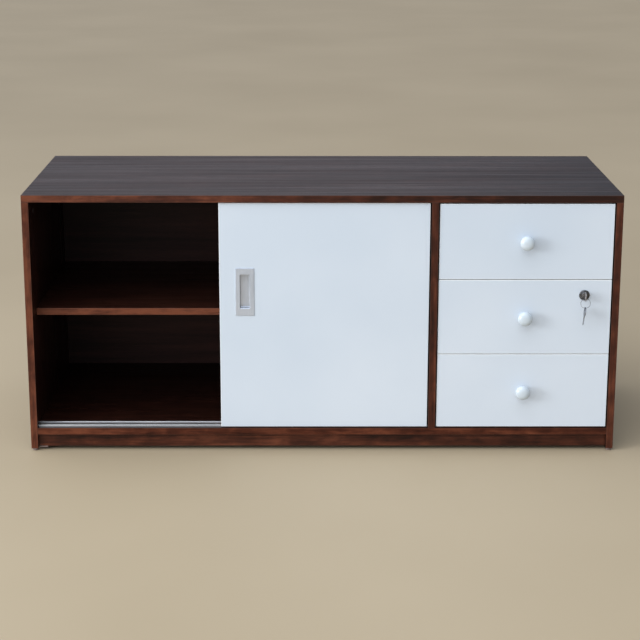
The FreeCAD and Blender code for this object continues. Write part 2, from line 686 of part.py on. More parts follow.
def floor_glides():
    """Round glides under the side panels and flat pads under the left ends of the plinths."""
    pieces = []
    for x in ("x_left + board_thickness / 2", "x_right - board_thickness / 2"):
        for y in ("y_front + glide_inset", "y_back - glide_inset"):
            tag = f"glide_{len(pieces) + 1}"
            pieces.append(rod(tag, "glide_radius", "glide_height", (x, y, "0")))
    inset = "(plinth_setback + (board_thickness + pad_width) / 2)"
    for y in (f"y_front + {inset} - pad_width", f"y_back - {inset}"):
        pieces.append(box(f"pad_{len(pieces) + 1}", ("pad_length", "pad_width", "pad_height"),
                          ("x_bay_left + pad_end_gap", y, "plinth_clearance - pad_height")))
    return together("floor_glides", pieces)


# ---- sliding doors -------------------------------------------------------------------------------


DOOR_ENDS = ("x_door + carrier_inset", "x_door + door_width - carrier_inset")
CARRIER_SIZE = ("carrier_length", "carrier_width", "carrier_height")
GUIDE_WIDTH = "guide_groove_width - 2 * guide_play"


def pull_body(name):
    """A flush pull: a rim with a finger cup behind it, built flat and then stood up."""
    body = doc.addObject("PartDesign::Body", name)
    rim = sketch_on(body, f"{name}_rim")
    rectangle(rim, "pull_width", "pull_height")
    pad(body, rim, "pull_plate")
    round_uprights(body, f"{name}_corners", "pull_corner")
    cup = sketch_on(body, f"{name}_cup")
    rectangle(cup, "cup_width + 2 * pull_wall", "cup_height + 2 * pull_wall", "0", "cup_rise")
    pad(body, cup, "cup_depth + pull_wall - pull_plate", backwards=True)
    hollow = sketch_on(body, f"{name}_hollow")
    rectangle(hollow, "cup_width", "cup_height", "0", "cup_rise")
    pocket(body, hollow, "cup_depth - pull_plate")
    mouth = sketch_on(body, f"{name}_mouth")
    rectangle(mouth, "cup_width", "cup_height", "0", "cup_rise")
    pocket(body, mouth, "pull_plate", backwards=True)
    return body


def door_panel(name, y_door, x_pull):
    """A door board with its groove, and room for its pull, wheels and guides."""
    y_face = f"{y_door} - door_thickness / 2"
    groove_width = "strip_thickness + 2 * strip_groove_play"
    cuts = [box(f"{name}_groove", ("door_width", groove_width, "strip_groove_height"),
                ("x_door", f"{y_door} - ({groove_width}) / 2", "z_door"))]
    cuts.append(box(f"{name}_cup_room",
                    ("cup_width + 2 * pull_wall", "cup_depth + pull_wall - pull_plate",
                     "cup_height + 2 * pull_wall"),
                    (f"{x_pull} - cup_width / 2 - pull_wall", y_face,
                     "z_pull + cup_rise - cup_height / 2 - pull_wall")))
    for x in DOOR_ENDS:
        cuts.append(box(f"{name}_wheel_room_{len(cuts)}", CARRIER_SIZE,
                        (f"{x} - carrier_length / 2", f"{y_door} - carrier_width / 2", "z_door")))
        cuts.append(box(f"{name}_guide_room_{len(cuts)}", ("guide_length", GUIDE_WIDTH, "guide_depth"),
                        (f"{x} - guide_length / 2", f"{y_door} - ({GUIDE_WIDTH}) / 2",
                         "z_door_top - guide_depth")))
    return board(name, ("door_width", "door_thickness", "door_height"), ("x_door", y_face, "z_door"), cuts)


def wheel_carriers(name, y_door):
    """Two forked blocks, each with the pin of its wheel."""
    pieces = []
    room_length = "(2 * (wheel_flange_radius + carrier_gap))"
    room_width = "(wheel_width + 2 * carrier_gap)"
    room_height = "z_wheel + wheel_flange_radius + carrier_gap - z_door"
    way_width = "(strip_thickness + 2 * strip_groove_play)"
    for x in DOOR_ENDS:
        tag = f"{name}_{len(pieces) + 1}"
        block = box(f"{tag}_block", CARRIER_SIZE,
                    (f"{x} - carrier_length / 2", f"{y_door} - carrier_width / 2", "z_door"))
        room = box(f"{tag}_room", (room_length, room_width, room_height),
                   (f"{x} - {room_length} / 2", f"{y_door} - {room_width} / 2", "z_door"))
        way = box(f"{tag}_way", ("carrier_length", way_width, "strip_groove_height"),
                  (f"{x} - carrier_length / 2", f"{y_door} - {way_width} / 2", "z_door"))
        pin_start = (x, f"{y_door} - carrier_width / 2", "z_wheel")
        bore = rod(f"{tag}_bore", "wheel_pin_radius + hole_play", "carrier_width", pin_start, ALONG_Y)
        pieces.append(cut(f"{tag}_fork", block, [joined(f"{tag}_rooms", [room, way, bore])]))
        pieces.append(rod(f"{tag}_pin", "wheel_pin_radius", "carrier_width", pin_start, ALONG_Y))
    return together(name, pieces)


def wheel(name, x, y_door):
    """A grooved wheel, turned about its pin."""
    body = doc.addObject("PartDesign::Body", name)
    profile = sketch_on(body, f"{name}_profile")
    bore = "wheel_pin_radius + pin_clearance"
    half = "wheel_width / 2"
    flank = "wheel_groove_half + wheel_flange_radius - wheel_tread_radius"
    shoulder = f"min({half} - wheel_rim; {flank})"
    outline(profile, [(bore, f"-{half}"), ("wheel_flange_radius", f"-{half}"),
                      ("wheel_flange_radius", f"-{shoulder}"),
                      ("wheel_tread_radius", "-wheel_groove_half"),
                      ("wheel_tread_radius", "wheel_groove_half"),
                      ("wheel_flange_radius", shoulder),
                      ("wheel_flange_radius", half), (bore, half)])
    revolve(body, profile)
    return put(body, x, y_door, "z_wheel")


def top_guides(name, y_door):
    """Two tongues that stand out of a door's upper edge."""
    pieces = []
    for x in DOOR_ENDS:
        size = ("guide_length", GUIDE_WIDTH, "guide_depth + guide_rise")
        pieces.append(box(f"{name}_{len(pieces) + 1}", size,
                          (f"{x} - guide_length / 2", f"{y_door} - ({GUIDE_WIDTH}) / 2",
                           "z_door_top - guide_depth")))
    return together(name, pieces)


def door(side, y_door, x_pull):
    """Everything that slides with one door."""
    pull = pull_body(f"{side}_door_pull")
    left_end, right_end = DOOR_ENDS
    return [
        door_panel(f"{side}_door_panel", y_door, x_pull),
        put(pull, x_pull, f"{y_door} - door_thickness / 2", "z_pull", OUT_OF_FRONT),
        wheel_carriers(f"{side}_door_wheel_carriers", y_door),
        wheel(f"{side}_door_left_wheel", left_end, y_door),
        wheel(f"{side}_door_right_wheel", right_end, y_door),
        top_guides(f"{side}_door_top_guides", y_door),
    ]


# ---- drawers -------------------------------------------------------------------------------------


def channel(name, size, corner, opens_right):
    """The block of a runner member, and the room that makes it a C of sheet open to one side."""
    width, length, height = size
    x, y, z = corner
    block = box(f"{name}_block", size, corner)
    x_room = f"{x} + runner_gauge" if opens_right else x
    room = box(f"{name}_room", (f"{width} - runner_gauge", length, f"{height} - 2 * runner_gauge"),
               (x_room, y, f"{z} + runner_gauge"))
    return block, room


INTERMEDIATE_HEIGHT = "(runner_height - 2 * runner_gauge - 2 * runner_gap)"
INNER_HEIGHT = "(runner_height - 4 * runner_gauge - 4 * runner_gap)"
SCREW_PLACES = ("y_runner + runner_screw_inset", "y_runner + runner_length - runner_screw_inset")


def drawer_z(z_front):
    return f"({z_front} + drawer_rise)"


def outer_members():
    """The members screwed to the divider and to the right side panel, three on each."""
    pieces = []
    width = "(runner_thickness - runner_lip)"
    length = "runner_gauge + screw_depth"
    sides = [
        ("centre_divider", "x_divider_right", "x_divider_right + runner_gauge", True, INTO_LEFT),
        ("right_side_panel", f"x_bay_right - {width}", "x_bay_right - runner_gauge", False, ALONG_X),
    ]
    for z_front in ("z_lower_front", "z_middle_front", "z_upper_front"):
        z_middle = f"{drawer_z(z_front)} + runner_rise"
        for piece, x, x_web, opens_right, turn in sides:
            tag = f"outer_member_{len(pieces) + 1}"
            block, room = channel(tag, (width, "runner_length", "runner_height"),
                                  (x, "y_runner", f"{z_middle} - runner_height / 2"), opens_right)
            member_cuts = [room]
            for y in SCREW_PLACES:
                start = (x_web, y, z_middle)
                screws.append(screw(f"runner_screw_{len(screws) + 1}", start, turn, length))
                hole(piece, "screw_radius", length, start, turn)
                bore = f"{tag}_bore_{len(member_cuts)}"
                member_cuts.append(rod(bore, "screw_radius + hole_play", length, start, turn))
            pieces.append(cut(tag, block, member_cuts))
    return together("runner_outer_members", pieces)


def intermediate_members(name, z_front):
    """The middle members of one drawer's two runners."""
    pieces = []
    width = "(runner_thickness - runner_gauge - runner_step - runner_lip / 2)"
    for x, opens_right in (("x_divider_right + runner_gauge + runner_step", True),
                           (f"x_bay_right - runner_gauge - runner_step - {width}", False)):
        tag = f"{name}_{len(pieces) + 1}"
        corner = (x, "y_runner", f"{drawer_z(z_front)} + runner_rise - {INTERMEDIATE_HEIGHT} / 2")
        size = (width, "runner_length", INTERMEDIATE_HEIGHT)
        block, room = channel(tag, size, corner, opens_right)
        pieces.append(cut(tag, block, [room]))
    return together(name, pieces)


def inner_members(name, z_front):
    """The members screwed to the two sides of one drawer."""
    pieces = []
    width = "(runner_thickness - 2 * runner_gauge - runner_step - runner_inner_gap)"
    for x, opens_right in ((f"x_drawer - {width}", True), ("x_drawer_right", False)):
        tag = f"{name}_{len(pieces) + 1}"
        corner = (x, "y_runner", f"{drawer_z(z_front)} + runner_rise - {INNER_HEIGHT} / 2")
        size = (width, "runner_length", INNER_HEIGHT)
        block, room = channel(tag, size, corner, opens_right)
        pieces.append(cut(tag, block, [room]))
    return together(name, pieces)


def drawer_front(name, z_front, cuts):
    groove = box(f"{name}_floor_groove",
                 ("drawer_width - 2 * (drawer_side_thickness - drawer_floor_groove)",
                  "drawer_floor_groove", "drawer_floor_thickness"),
                 ("x_drawer + drawer_side_thickness - drawer_floor_groove",
                  "y_drawer - drawer_floor_groove", f"{drawer_z(z_front)} + drawer_floor_rise"))
    return board(name, ("front_width", "front_thickness", "front_height"),
                 ("x_front", "y_drawer_face", z_front), [groove] + cuts)


def drawer_sides(name, z_front):
    """The two sides, each with the groove that holds the bottom."""
    pieces = []
    inner_right = "x_drawer_right - drawer_side_thickness"
    for x, x_groove in (("x_drawer", "x_drawer + drawer_side_thickness - drawer_floor_groove"),
                        (inner_right, inner_right)):
        tag = f"{name}_{len(pieces) + 1}"
        groove = box(f"{tag}_groove", ("drawer_floor_groove", "drawer_depth", "drawer_floor_thickness"),
                     (x_groove, "y_drawer", f"{drawer_z(z_front)} + drawer_floor_rise"))
        pieces.append(board(tag, ("drawer_side_thickness", "drawer_depth", "drawer_height"),
                            (x, "y_drawer", drawer_z(z_front)), [groove]))
    return together(name, pieces)


def drawer_rear_wall(name, z_front):
    """The rear wall stands on the bottom, between the sides."""
    lift = "(drawer_floor_rise + drawer_floor_thickness)"
    return board(name, ("drawer_width - 2 * drawer_side_thickness", "drawer_side_thickness",
                        f"drawer_height - {lift}"),
                 ("x_drawer + drawer_side_thickness", "y_drawer + drawer_depth - drawer_side_thickness",
                  f"{drawer_z(z_front)} + {lift}"))


def drawer_bottom(name, z_front):
    return box(name, ("drawer_width - 2 * (drawer_side_thickness - drawer_floor_groove)",
                      "drawer_depth + drawer_floor_groove", "drawer_floor_thickness"),
               ("x_drawer + drawer_side_thickness - drawer_floor_groove", "y_drawer - drawer_floor_groove",
                f"{drawer_z(z_front)} + drawer_floor_rise"))


def knob(name, x, z):
    """A foot that narrows to the neck, and a flattened round head."""
    foot = doc.addObject("Part::Cone", f"{name}_foot")
    bind(foot, Radius1="knob_base_radius", Radius2="knob_neck_radius",
         Height="knob_reach - knob_half_depth")
    put(foot, x, "y_drawer_face", z, OUT_OF_FRONT)
    head = doc.addObject("Part::Ellipsoid", f"{name}_head")
    bind(head, Radius1="knob_half_depth", Radius2="knob_radius", Radius3="knob_radius")
    put(head, x, "y_drawer_face - knob_reach + knob_half_depth", z, OUT_OF_FRONT)
    bore = rod(f"{name}_bore", "knob_screw_radius + hole_play", "knob_screw_depth",
               (x, "y_drawer_face", z), OUT_OF_FRONT)
    return cut(name, joined(f"{name}_solid", [foot, head]), [bore])


def drawer_fixings(name, x_knob, z_knob, extra=()):
    """The screw that holds the knob from inside, and what else fixes things to the front."""
    knob_screw = screw(f"{name}_knob_screw", (x_knob, "y_drawer", z_knob), OUT_OF_FRONT,
                       "front_thickness + knob_screw_depth", "knob_screw_radius",
                       "knob_screw_head_radius", "knob_screw_head_height")
    return together(name, [knob_screw, *extra])


def drawer(level, z_front, cuts=(), extra_fixings=()):
    """Everything that slides with one drawer, and the intermediate members behind it."""
    name = f"{level}_drawer"
    x_knob = "x_front + front_width / 2"
    z_knob = f"{z_front} + front_height / 2"
    bore = rod(f"{name}_knob_hole", "knob_screw_radius + hole_play", "front_thickness",
               (x_knob, "y_drawer", z_knob), OUT_OF_FRONT)
    return [
        drawer_front(f"{name}_front", z_front, [bore, *cuts]),
        drawer_sides(f"{name}_sides", z_front),
        drawer_rear_wall(f"{name}_rear_wall", z_front),
        drawer_bottom(f"{name}_bottom", z_front),
        knob(f"{name}_knob", x_knob, z_knob),
        drawer_fixings(f"{name}_fixings", x_knob, z_knob, extra_fixings),
        inner_members(f"{name}_runner_inner_members", z_front),
        intermediate_members(f"{name}_runner_intermediate_members", z_front),
    ]


# ---- lock ----------------------------------------------------------------------------------------


BARREL_LENGTH = "(front_thickness + lock_barrel_tail)"
KEYWAY_DEPTH = "(key_blade_length + 2 * keyway_play)"


def lock_barrel():
    """A bevelled collar and a barrel, bored through for the plug."""
    body = doc.addObject("PartDesign::Body", "lock_barrel")
    profile = sketch_on(body, "lock_barrel_profile")
    bore = "lock_plug_radius + pin_clearance"
    outline(profile, [(bore, "-lock_collar_height"),
                      ("lock_collar_radius - lock_collar_chamfer", "-lock_collar_height"),
                      ("lock_collar_radius", "lock_collar_chamfer - lock_collar_height"),
                      ("lock_collar_radius", "0"), ("lock_barrel_radius", "0"),
                      ("lock_barrel_radius", BARREL_LENGTH), (bore, BARREL_LENGTH)])
    revolve(body, profile)
    return put(body, "x_lock", "y_drawer_face", "z_lock")


def lock_nut():
    """The nut that clamps the barrel in the drawer front."""
    blank = doc.addObject("Part::Prism", "lock_nut_blank")
    blank.Polygon = 6
    bind(blank, Circumradius="lock_nut_radius", Height="lock_nut_height")
    put(blank, "x_lock", "y_drawer", "z_lock", ALONG_Y)
    bore = rod("lock_nut_bore", "lock_barrel_radius + hole_play", "lock_nut_height",
               ("x_lock", "y_drawer", "z_lock"), ALONG_Y)
    return cut("lock_nut", blank, [bore])


def lock_plug():
    """The turning plug: keyway in front, square tail behind."""
    length = f"(lock_collar_height + {BARREL_LENGTH})"
    face = ("x_lock", "y_lock_face", "z_lock")
    core = rod("lock_plug_core", "lock_plug_radius", length, face, ALONG_Y)
    tail = box("lock_plug_tail", ("lock_tail_side", "cam_gap + cam_thickness", "lock_tail_side"),
               ("x_lock - lock_tail_side / 2", "y_cam - cam_gap", "z_lock - lock_tail_side / 2"))
    width = "(key_thickness + 2 * keyway_play)"
    height = "(key_blade_width + 2 * keyway_play)"
    keyway = box("lock_plug_keyway", (width, KEYWAY_DEPTH, height),
                 (f"x_lock - {width} / 2", "y_lock_face", f"z_lock - {height} / 2"))
    return cut("lock_plug", joined("lock_plug_solid", [core, tail]), [keyway])


def lock_cam():
    """A flat arm with a round end, on the plug's tail; it points left while the drawer is unlocked."""
    arm = box("lock_cam_arm", ("cam_length", "cam_thickness", "cam_width"),
              ("x_lock - cam_length", "y_cam", "z_lock - cam_width / 2"))
    eye = rod("lock_cam_eye", "cam_width / 2", "cam_thickness", ("x_lock", "y_cam", "z_lock"), ALONG_Y)
    side = "(lock_tail_side + 2 * hole_play)"
    square = box("lock_cam_square", (side, "cam_thickness", side),
                 (f"x_lock - {side} / 2", "y_cam", f"z_lock - {side} / 2"))
    return cut("lock_cam", joined("lock_cam_solid", [arm, eye]), [square])


def key_body(name):
    """A flat key about the middle of its bow, with the blade along +Y."""
    body = doc.addObject("PartDesign::Body", name)
    bow = sketch_on(body, f"{name}_bow")
    disc(bow, "key_bow_radius")
    pad(body, bow, "key_thickness")
    stem = sketch_on(body, f"{name}_stem")
    half, shoulder = "key_blade_width / 2", "key_shoulder_width / 2"
    root = "key_bow_radius / 2"
    start = "(key_bow_radius + key_shoulder_length)"
    tip = f"({start} + key_blade_length)"
    points = [(f"-{shoulder}", root), (shoulder, root), (shoulder, start), (half, start)]
    for number in range(int(value("key_notch_count"))):
        middle = f"({start} + {number + 1} * key_notch_pitch)"
        points += [(half, f"{middle} - key_notch_depth"), (f"{half} - key_notch_depth", middle),
                   (half, f"{middle} + key_notch_depth")]
    points += [(half, f"{tip} - {half}"), ("0", tip), (f"-{half}", f"{tip} - {half}"),
               (f"-{half}", start), (f"-{shoulder}", start)]
    outline(stem, points)
    pad(body, stem, "key_thickness")
    eye = sketch_on(body, f"{name}_eye")
    disc(eye, "key_hole_radius", "key_hole_offset")
    pocket(body, eye, "key_thickness", backwards=True)
    return body


def key():
    """The key in the lock, its flat upright."""
    blade_back_flat_right = FreeCAD.Rotation(FreeCAD.Vector(0, 0, -1), FreeCAD.Vector(0, 1, 0),
                                             FreeCAD.Vector(1, 0, 0), "ZXY")
    return put(key_body("key"), "x_lock - key_thickness / 2", "y_key_bow", "z_lock",
               blade_back_flat_right)


def key_ring():
    """A wire ring that hangs in the key's bow."""
    ring = doc.addObject("Part::Torus", "key_ring")
    bind(ring, Radius1="key_ring_radius", Radius2="key_ring_wire")
    return put(ring, "x_lock", "y_key_hole", "z_ring", ALONG_Y)


def spare_key():
    """The second key, blade down, hung on the lowest point of the ring."""
    lean = math.radians(value("spare_key_lean"))
    along = FreeCAD.Vector(-math.sin(lean), 0, -math.cos(lean))
    across = FreeCAD.Vector(math.cos(lean), 0, -math.sin(lean))
    turn = FreeCAD.Rotation(along.cross(across), along, across, "ZXY")
    drop = "(ring_sag + key_hole_offset)"
    x = f"x_lock - sin(spare_key_lean) * {drop} - cos(spare_key_lean) * key_thickness / 2"
    z = f"z_spare_pivot - cos(spare_key_lean) * {drop} + sin(spare_key_lean) * key_thickness / 2"
    return put(key_body("spare_key"), x, "y_key_hole", z, turn)


# ---- the whole -----------------------------------------------------------------------------------


def drawers():
    """Three drawers; the middle front also holds the lock."""
    lock_hole = rod("lock_hole", "lock_barrel_radius + hole_play", "front_thickness",
                    ("x_lock", "y_drawer_face", "z_lock"), ALONG_Y)
    return (drawer("upper", "z_upper_front")
            + drawer("middle", "z_middle_front", [lock_hole], [lock_nut()])
            + drawer("lower", "z_lower_front"))


def carcase():
    """The boards, after every fastener has asked for its holes."""
    fasten_carcase()
    fasten_back()
    pins = shelf_pins()
    members = outer_members()
    boards = [
        top_panel(),
        side_panel("left_side_panel", "x_left", "x_bay_left - back_rebate"),
        side_panel("right_side_panel", "x_bay_right", "x_bay_right"),
        centre_divider(),
        bottom_panel(),
        back_panel(),
        plinth("front_plinth", "y_front + plinth_setback"),
        plinth("rear_plinth", "y_back - plinth_setback - board_thickness"),
        lock_rail(),
        shelf(),
    ]
    return boards + [pins, door_strips(), top_track(), floor_glides(), members,
                     together("cam_fittings", fittings), together("wooden_dowels", dowels),
                     together("wood_screws", screws)]


def build():
    """Every sub-part, each under the label that names its file."""
    parts = carcase()
    parts += door("front", "y_front_door", "x_door + pull_edge_distance")
    parts += door("rear", "y_rear_door", "x_door + door_width - pull_edge_distance")
    parts += drawers()
    parts += [lock_barrel(), lock_plug(), lock_cam(), key(), key_ring(), spare_key()]
    return parts


def check(parts):
    """Stop if anything failed, is empty or is not valid."""
    for thing in doc.Objects:
        if "Invalid" in thing.State or "Error" in thing.State:
            raise RuntimeError(f"{thing.Label} failed: {thing.State}")
    for part in parts:
        if part.Shape.isNull() or not part.Shape.isValid() or not part.Shape.Solids:
            raise RuntimeError(f"{part.Label} has no valid shape")


def write(parts):
    os.makedirs("parts", exist_ok=True)
    for part in parts:
        part.Shape.exportStep(f"parts/{part.Label}.step")
        print(f"{part.Label}: {len(part.Shape.Solids)} solids")


finished = build()
doc.recompute()
check(finished)
write(finished)
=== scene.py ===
# %% [markdown]
# An office credenza, dressed around its construction model.
# The carcase is dark reddish-brown wood veneer, the two sliding doors and the three drawers are
# white laminated board, and the small parts are satin aluminium, dark chrome, nickel and glossy
# plastic. The construction model gives every part its place and its size. It could be drawn again
# from nothing, but a loaded frame keeps the looks and the mechanics in one set of coordinates.

# %% Load the construction model
import json
import math

import bmesh
import bpy
import numpy as np
from mathutils import Matrix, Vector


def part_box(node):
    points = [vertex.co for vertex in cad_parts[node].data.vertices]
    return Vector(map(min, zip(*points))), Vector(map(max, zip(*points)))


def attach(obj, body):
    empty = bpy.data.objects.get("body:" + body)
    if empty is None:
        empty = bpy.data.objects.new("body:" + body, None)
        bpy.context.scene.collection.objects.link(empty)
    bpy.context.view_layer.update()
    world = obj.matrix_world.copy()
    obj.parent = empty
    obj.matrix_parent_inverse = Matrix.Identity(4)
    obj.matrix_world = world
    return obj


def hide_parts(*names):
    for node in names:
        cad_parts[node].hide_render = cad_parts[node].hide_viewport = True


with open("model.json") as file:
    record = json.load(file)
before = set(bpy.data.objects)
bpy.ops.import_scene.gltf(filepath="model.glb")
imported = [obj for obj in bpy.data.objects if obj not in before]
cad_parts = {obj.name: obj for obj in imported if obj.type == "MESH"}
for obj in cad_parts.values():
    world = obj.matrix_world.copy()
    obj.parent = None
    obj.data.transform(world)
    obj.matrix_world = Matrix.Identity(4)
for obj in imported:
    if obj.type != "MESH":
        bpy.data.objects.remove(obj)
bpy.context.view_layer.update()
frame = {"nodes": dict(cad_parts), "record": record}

nodes = frame["nodes"]

# %% [markdown]
# Blender measures in metres, while a cabinet maker thinks in millimetres. One constant turns one
# into the other, and it is easier to read than zeros after a decimal point.
# Each part knows its own body, so a piece that stands for a node can ride where the node rides.

# %% Units and lookups
MM = 0.001
body_of = {node: body for body, members in frame["record"]["behaviour"]["bodies"].items()
           for node in members}
slot_of = {part["node"]: part["material_slot"] for part in frame["record"]["subparts"]}


def corners(node):
    """Lowest and highest corner of a node, as two arrays."""
    low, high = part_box(node)
    return np.array(low), np.array(high)


def middle(node):
    """The point halfway between a node's corners."""
    low, high = corners(node)
    return (low + high) / 2


print(f"{len(body_of)} nodes know their body, {len(slot_of)} know their finish")

# %% [markdown]
# The portrait is taken with a long lens from well above the cabinet's top, looking slightly down.
# A camera could be aimed with a constraint, but three angles and a place say exactly how it stands.
# Its own axes are worked out as vectors, so no angle is lost in a conversion, and the same small
# helper will stand the lamps up later.

# %% Camera
CAMERA_PLACE = np.array([-0.0315, -4.4787, 1.4627])
PITCH_DOWN, YAW_RIGHT, ROLL = np.radians([14.87, 0.343, 0.093])
SENSOR_WIDTH = 36.0
FOCAL_PIXELS, IMAGE_WIDTH = 1714.4, 640


def camera_axes(pitch, yaw, roll):
    """Right, up and backward axes of a camera.

    Forward leans down by the pitch and turns right by the yaw. Right is level before the roll, and
    the roll turns right and up about forward.
    """
    forward = np.array([np.sin(yaw) * np.cos(pitch), np.cos(yaw) * np.cos(pitch), -np.sin(pitch)])
    level = np.array([np.cos(yaw), -np.sin(yaw), 0.0])
    up = np.cross(level, forward)
    right = level * np.cos(roll) + up * np.sin(roll)
    upright = up * np.cos(roll) - level * np.sin(roll)
    return right, upright, -forward


def stand(name, data, axes, place):
    """An object with these data at a place, its own three axes given as vectors."""
    thing = bpy.data.objects.new(name, data)
    bpy.context.collection.objects.link(thing)
    stance = np.eye(4)
    stance[:3, :3] = np.stack(axes, axis=1)
    stance[:3, 3] = place
    thing.matrix_world = Matrix(stance.tolist())
    return thing


camera_data = bpy.data.cameras.new("portrait")
camera_data.sensor_width = SENSOR_WIDTH
camera_data.lens = SENSOR_WIDTH * FOCAL_PIXELS / IMAGE_WIDTH
axes = camera_axes(PITCH_DOWN, YAW_RIGHT, ROLL)
bpy.context.scene.camera = stand("portrait", camera_data, axes, CAMERA_PLACE)
print(f"lens {camera_data.lens:.1f} mm")

# %% [markdown]
# Light comes from a wide window on the left and a broad lamp under the ceiling. Sharp spots would
# show every facet and harden the shadows of the knobs. Area lamps give the long soft shadows that
# turned knobs throw on a plain front. The sky is a cool grey that grows lighter to the upper left,
# where the window is, with a faint warm glow behind the cabinet for the lacquered top to mirror.

# %% Lamps
# Each lamp: its place and target in metres, its width, its watts, its colour.
LAMPS = {
    "window": ((-6.2, -3.6, 2.0), (0.1, -0.25, 0.35), 2.4, 250, (0.94, 0.98, 1.0)),
    "ceiling": ((-1.2, -2.4, 4.2), (0.0, -0.3, 0.3), 4.5, 75, (0.93, 0.97, 1.0)),
}


def area_lamp(name, place, target, size, watts, colour):
    """A square lamp at a place, facing a target.

    Backward points from the target to the lamp, side is level and square to it, and the lamp's own
    up is square to both.
    """
    data = bpy.data.lights.new(name, "AREA")
    data.shape = "SQUARE"
    data.size = size
    data.energy = watts
    data.color = colour
    backward = np.array(place, float) - np.array(target, float)
    side = np.cross([0.0, 0.0, 1.0], backward)
    side, backward = side / np.linalg.norm(side), backward / np.linalg.norm(backward)
    lamp = stand(name, data, (side, np.cross(backward, side), backward), place)
    lamp.visible_camera = False


for name, settings in LAMPS.items():
    area_lamp(name, *settings)
print(f"{len(LAMPS)} lamps")

# %% Sky
# A ramp of the sky: the direction it looks along, then pairs of a cosine and a colour.
WINDOW_SKY = ((-0.72, -0.36, 0.593), [(0.0, (0.13, 0.15, 0.18)), (0.9, (0.98, 1.03, 1.09))])
GLOW_BEHIND = ((-0.05, 0.972, 0.229), [(0.965, (0.0, 0.0, 0.0)), (1.0, (0.20, 0.164, 0.166))])
SKY_STRENGTH = 1.46
world = bpy.data.worlds.new("studio")
bpy.context.scene.world = world
world.use_nodes = True
sky = world.node_tree
direction = sky.nodes.new("ShaderNodeTexCoord").outputs["Generated"]


def sky_ramp(towards, stops):
    """Colours of the sky by the cosine of the angle to a direction."""
    cosine = sky.nodes.new("ShaderNodeVectorMath")
    cosine.operation = "DOT_PRODUCT"
    cosine.inputs[1].default_value = towards
    sky.links.new(direction, cosine.inputs[0])
    node = sky.nodes.new("ShaderNodeValToRGB")
    for element, (position, colour) in zip(node.color_ramp.elements, stops):
        element.position = position
        element.color = (*colour, 1)
    sky.links.new(cosine.outputs["Value"], node.inputs[0])
    return node.outputs["Color"]


whole_sky = sky.nodes.new("ShaderNodeMix")
whole_sky.data_type = "RGBA"
whole_sky.blend_type = "ADD"
whole_sky.inputs[0].default_value = 1.0
sky.links.new(sky_ramp(*WINDOW_SKY), whole_sky.inputs[6])
sky.links.new(sky_ramp(*GLOW_BEHIND), whole_sky.inputs[7])
background = sky.nodes["Background"]
sky.links.new(whole_sky.outputs[2], background.inputs["Color"])
background.inputs["Strength"].default_value = SKY_STRENGTH
bpy.context.scene.view_settings.view_transform = "Standard"
print(f"sky of two ramps, strength {SKY_STRENGTH}")

# %% [markdown]
# A finish is a small tree of nodes. Typing every link by hand is long, so these helpers each add
# one kind of node and return its output. Patterns are computed from object coordinates: every part
# keeps its place in its mesh, so one metre of pattern is one metre of cabinet.

# %% Materials and their nodes


def finish(name, **sockets):
    """A new material and its shader, with plain values set on the shader's own sockets."""
    material = bpy.data.materials.new(name)
    material.use_nodes = True
    shader = material.node_tree.nodes["Principled BSDF"]
    for socket, value in sockets.items():
        shader.inputs[socket.replace("_", " ")].default_value = value
    return material, shader


def add(material, kind, inputs, **settings):
    """A node with its settings; each input is a value or another node's output."""
    node = material.node_tree.nodes.new(kind)
    for key, value in settings.items():
        setattr(node, key, value)
    for key, value in inputs.items():
        if isinstance(value, bpy.types.NodeSocket):
            material.node_tree.links.new(value, node.inputs[key])
        else:
            node.inputs[key].default_value = value
    return node


def place(material, stretch=(1, 1, 1), shift=(0, 0, 0)):
    """Object coordinates, stretched and shifted."""
    source = add(material, "ShaderNodeTexCoord", {}).outputs["Object"]
    return add(material, "ShaderNodeMapping",
               {"Vector": source, "Scale": stretch, "Location": shift}).outputs[0]


print("a material, a node and a place for its pattern")

# %% Patterns and sums
NOISE_RANGE = (0.3, 0.7)


def noise(material, where, scale=1.0, detail=2.0, rough=0.5, twist=0.0):
    """Smooth noise between 0 and 1, most of it inside NOISE_RANGE."""
    return add(material, "ShaderNodeTexNoise",
               {"Vector": where, "Scale": scale, "Detail": detail, "Roughness": rough,
                "Distortion": twist}).outputs[0]


def calc(material, operation, first, second=0.0, third=0.0):
    """One step of arithmetic on up to three amounts."""
    inputs = {0: first, 1: second, 2: third}
    return add(material, "ShaderNodeMath", inputs, operation=operation).outputs[0]


def axis_of(material, vector, axis):
    """One of the three numbers of a vector."""
    return add(material, "ShaderNodeSeparateXYZ", {0: vector}).outputs[axis]


print(f"noise lies mostly from {NOISE_RANGE[0]} to {NOISE_RANGE[1]}")

# %% From patterns to colours and relief


def ramp(material, amount, stops):
    """A colour for each amount: stops are pairs of a position and a colour."""
    node = add(material, "ShaderNodeValToRGB", {0: amount})
    strip = node.color_ramp
    while len(strip.elements) < len(stops):
        strip.elements.new(0.5)
    for element, (position, colour) in zip(strip.elements, stops):
        element.position = position
        element.color = (*colour, 1)
    return node.outputs[0]


def spread(material, amount, low, high, start=0.0, end=1.0):
    """The amount's range from start to end, laid onto low to high."""
    return add(material, "ShaderNodeMapRange",
               {0: amount, 1: start, 2: end, 3: low, 4: high}).outputs[0]


def mix(material, amount, first, second):
    """Two colours, mixed by an amount."""
    node = add(material, "ShaderNodeMix", {0: amount, 6: first, 7: second}, data_type="RGBA")
    return node.outputs[2]


def relief(material, shader, height, strength, depth):
    """Let a height pattern tilt the light on a surface."""
    bumped = add(material, "ShaderNodeBump",
                 {"Height": height, "Strength": strength, "Distance": depth})
    material.node_tree.links.new(bumped.outputs[0], shader.inputs["Normal"])


def feed(material, shader, **sources):
    """Join outputs to the shader's sockets."""
    for socket, output in sources.items():
        material.node_tree.links.new(output, shader.inputs[socket.replace("_", " ")])


print("ramp, spread, mix, relief and feed are ready")

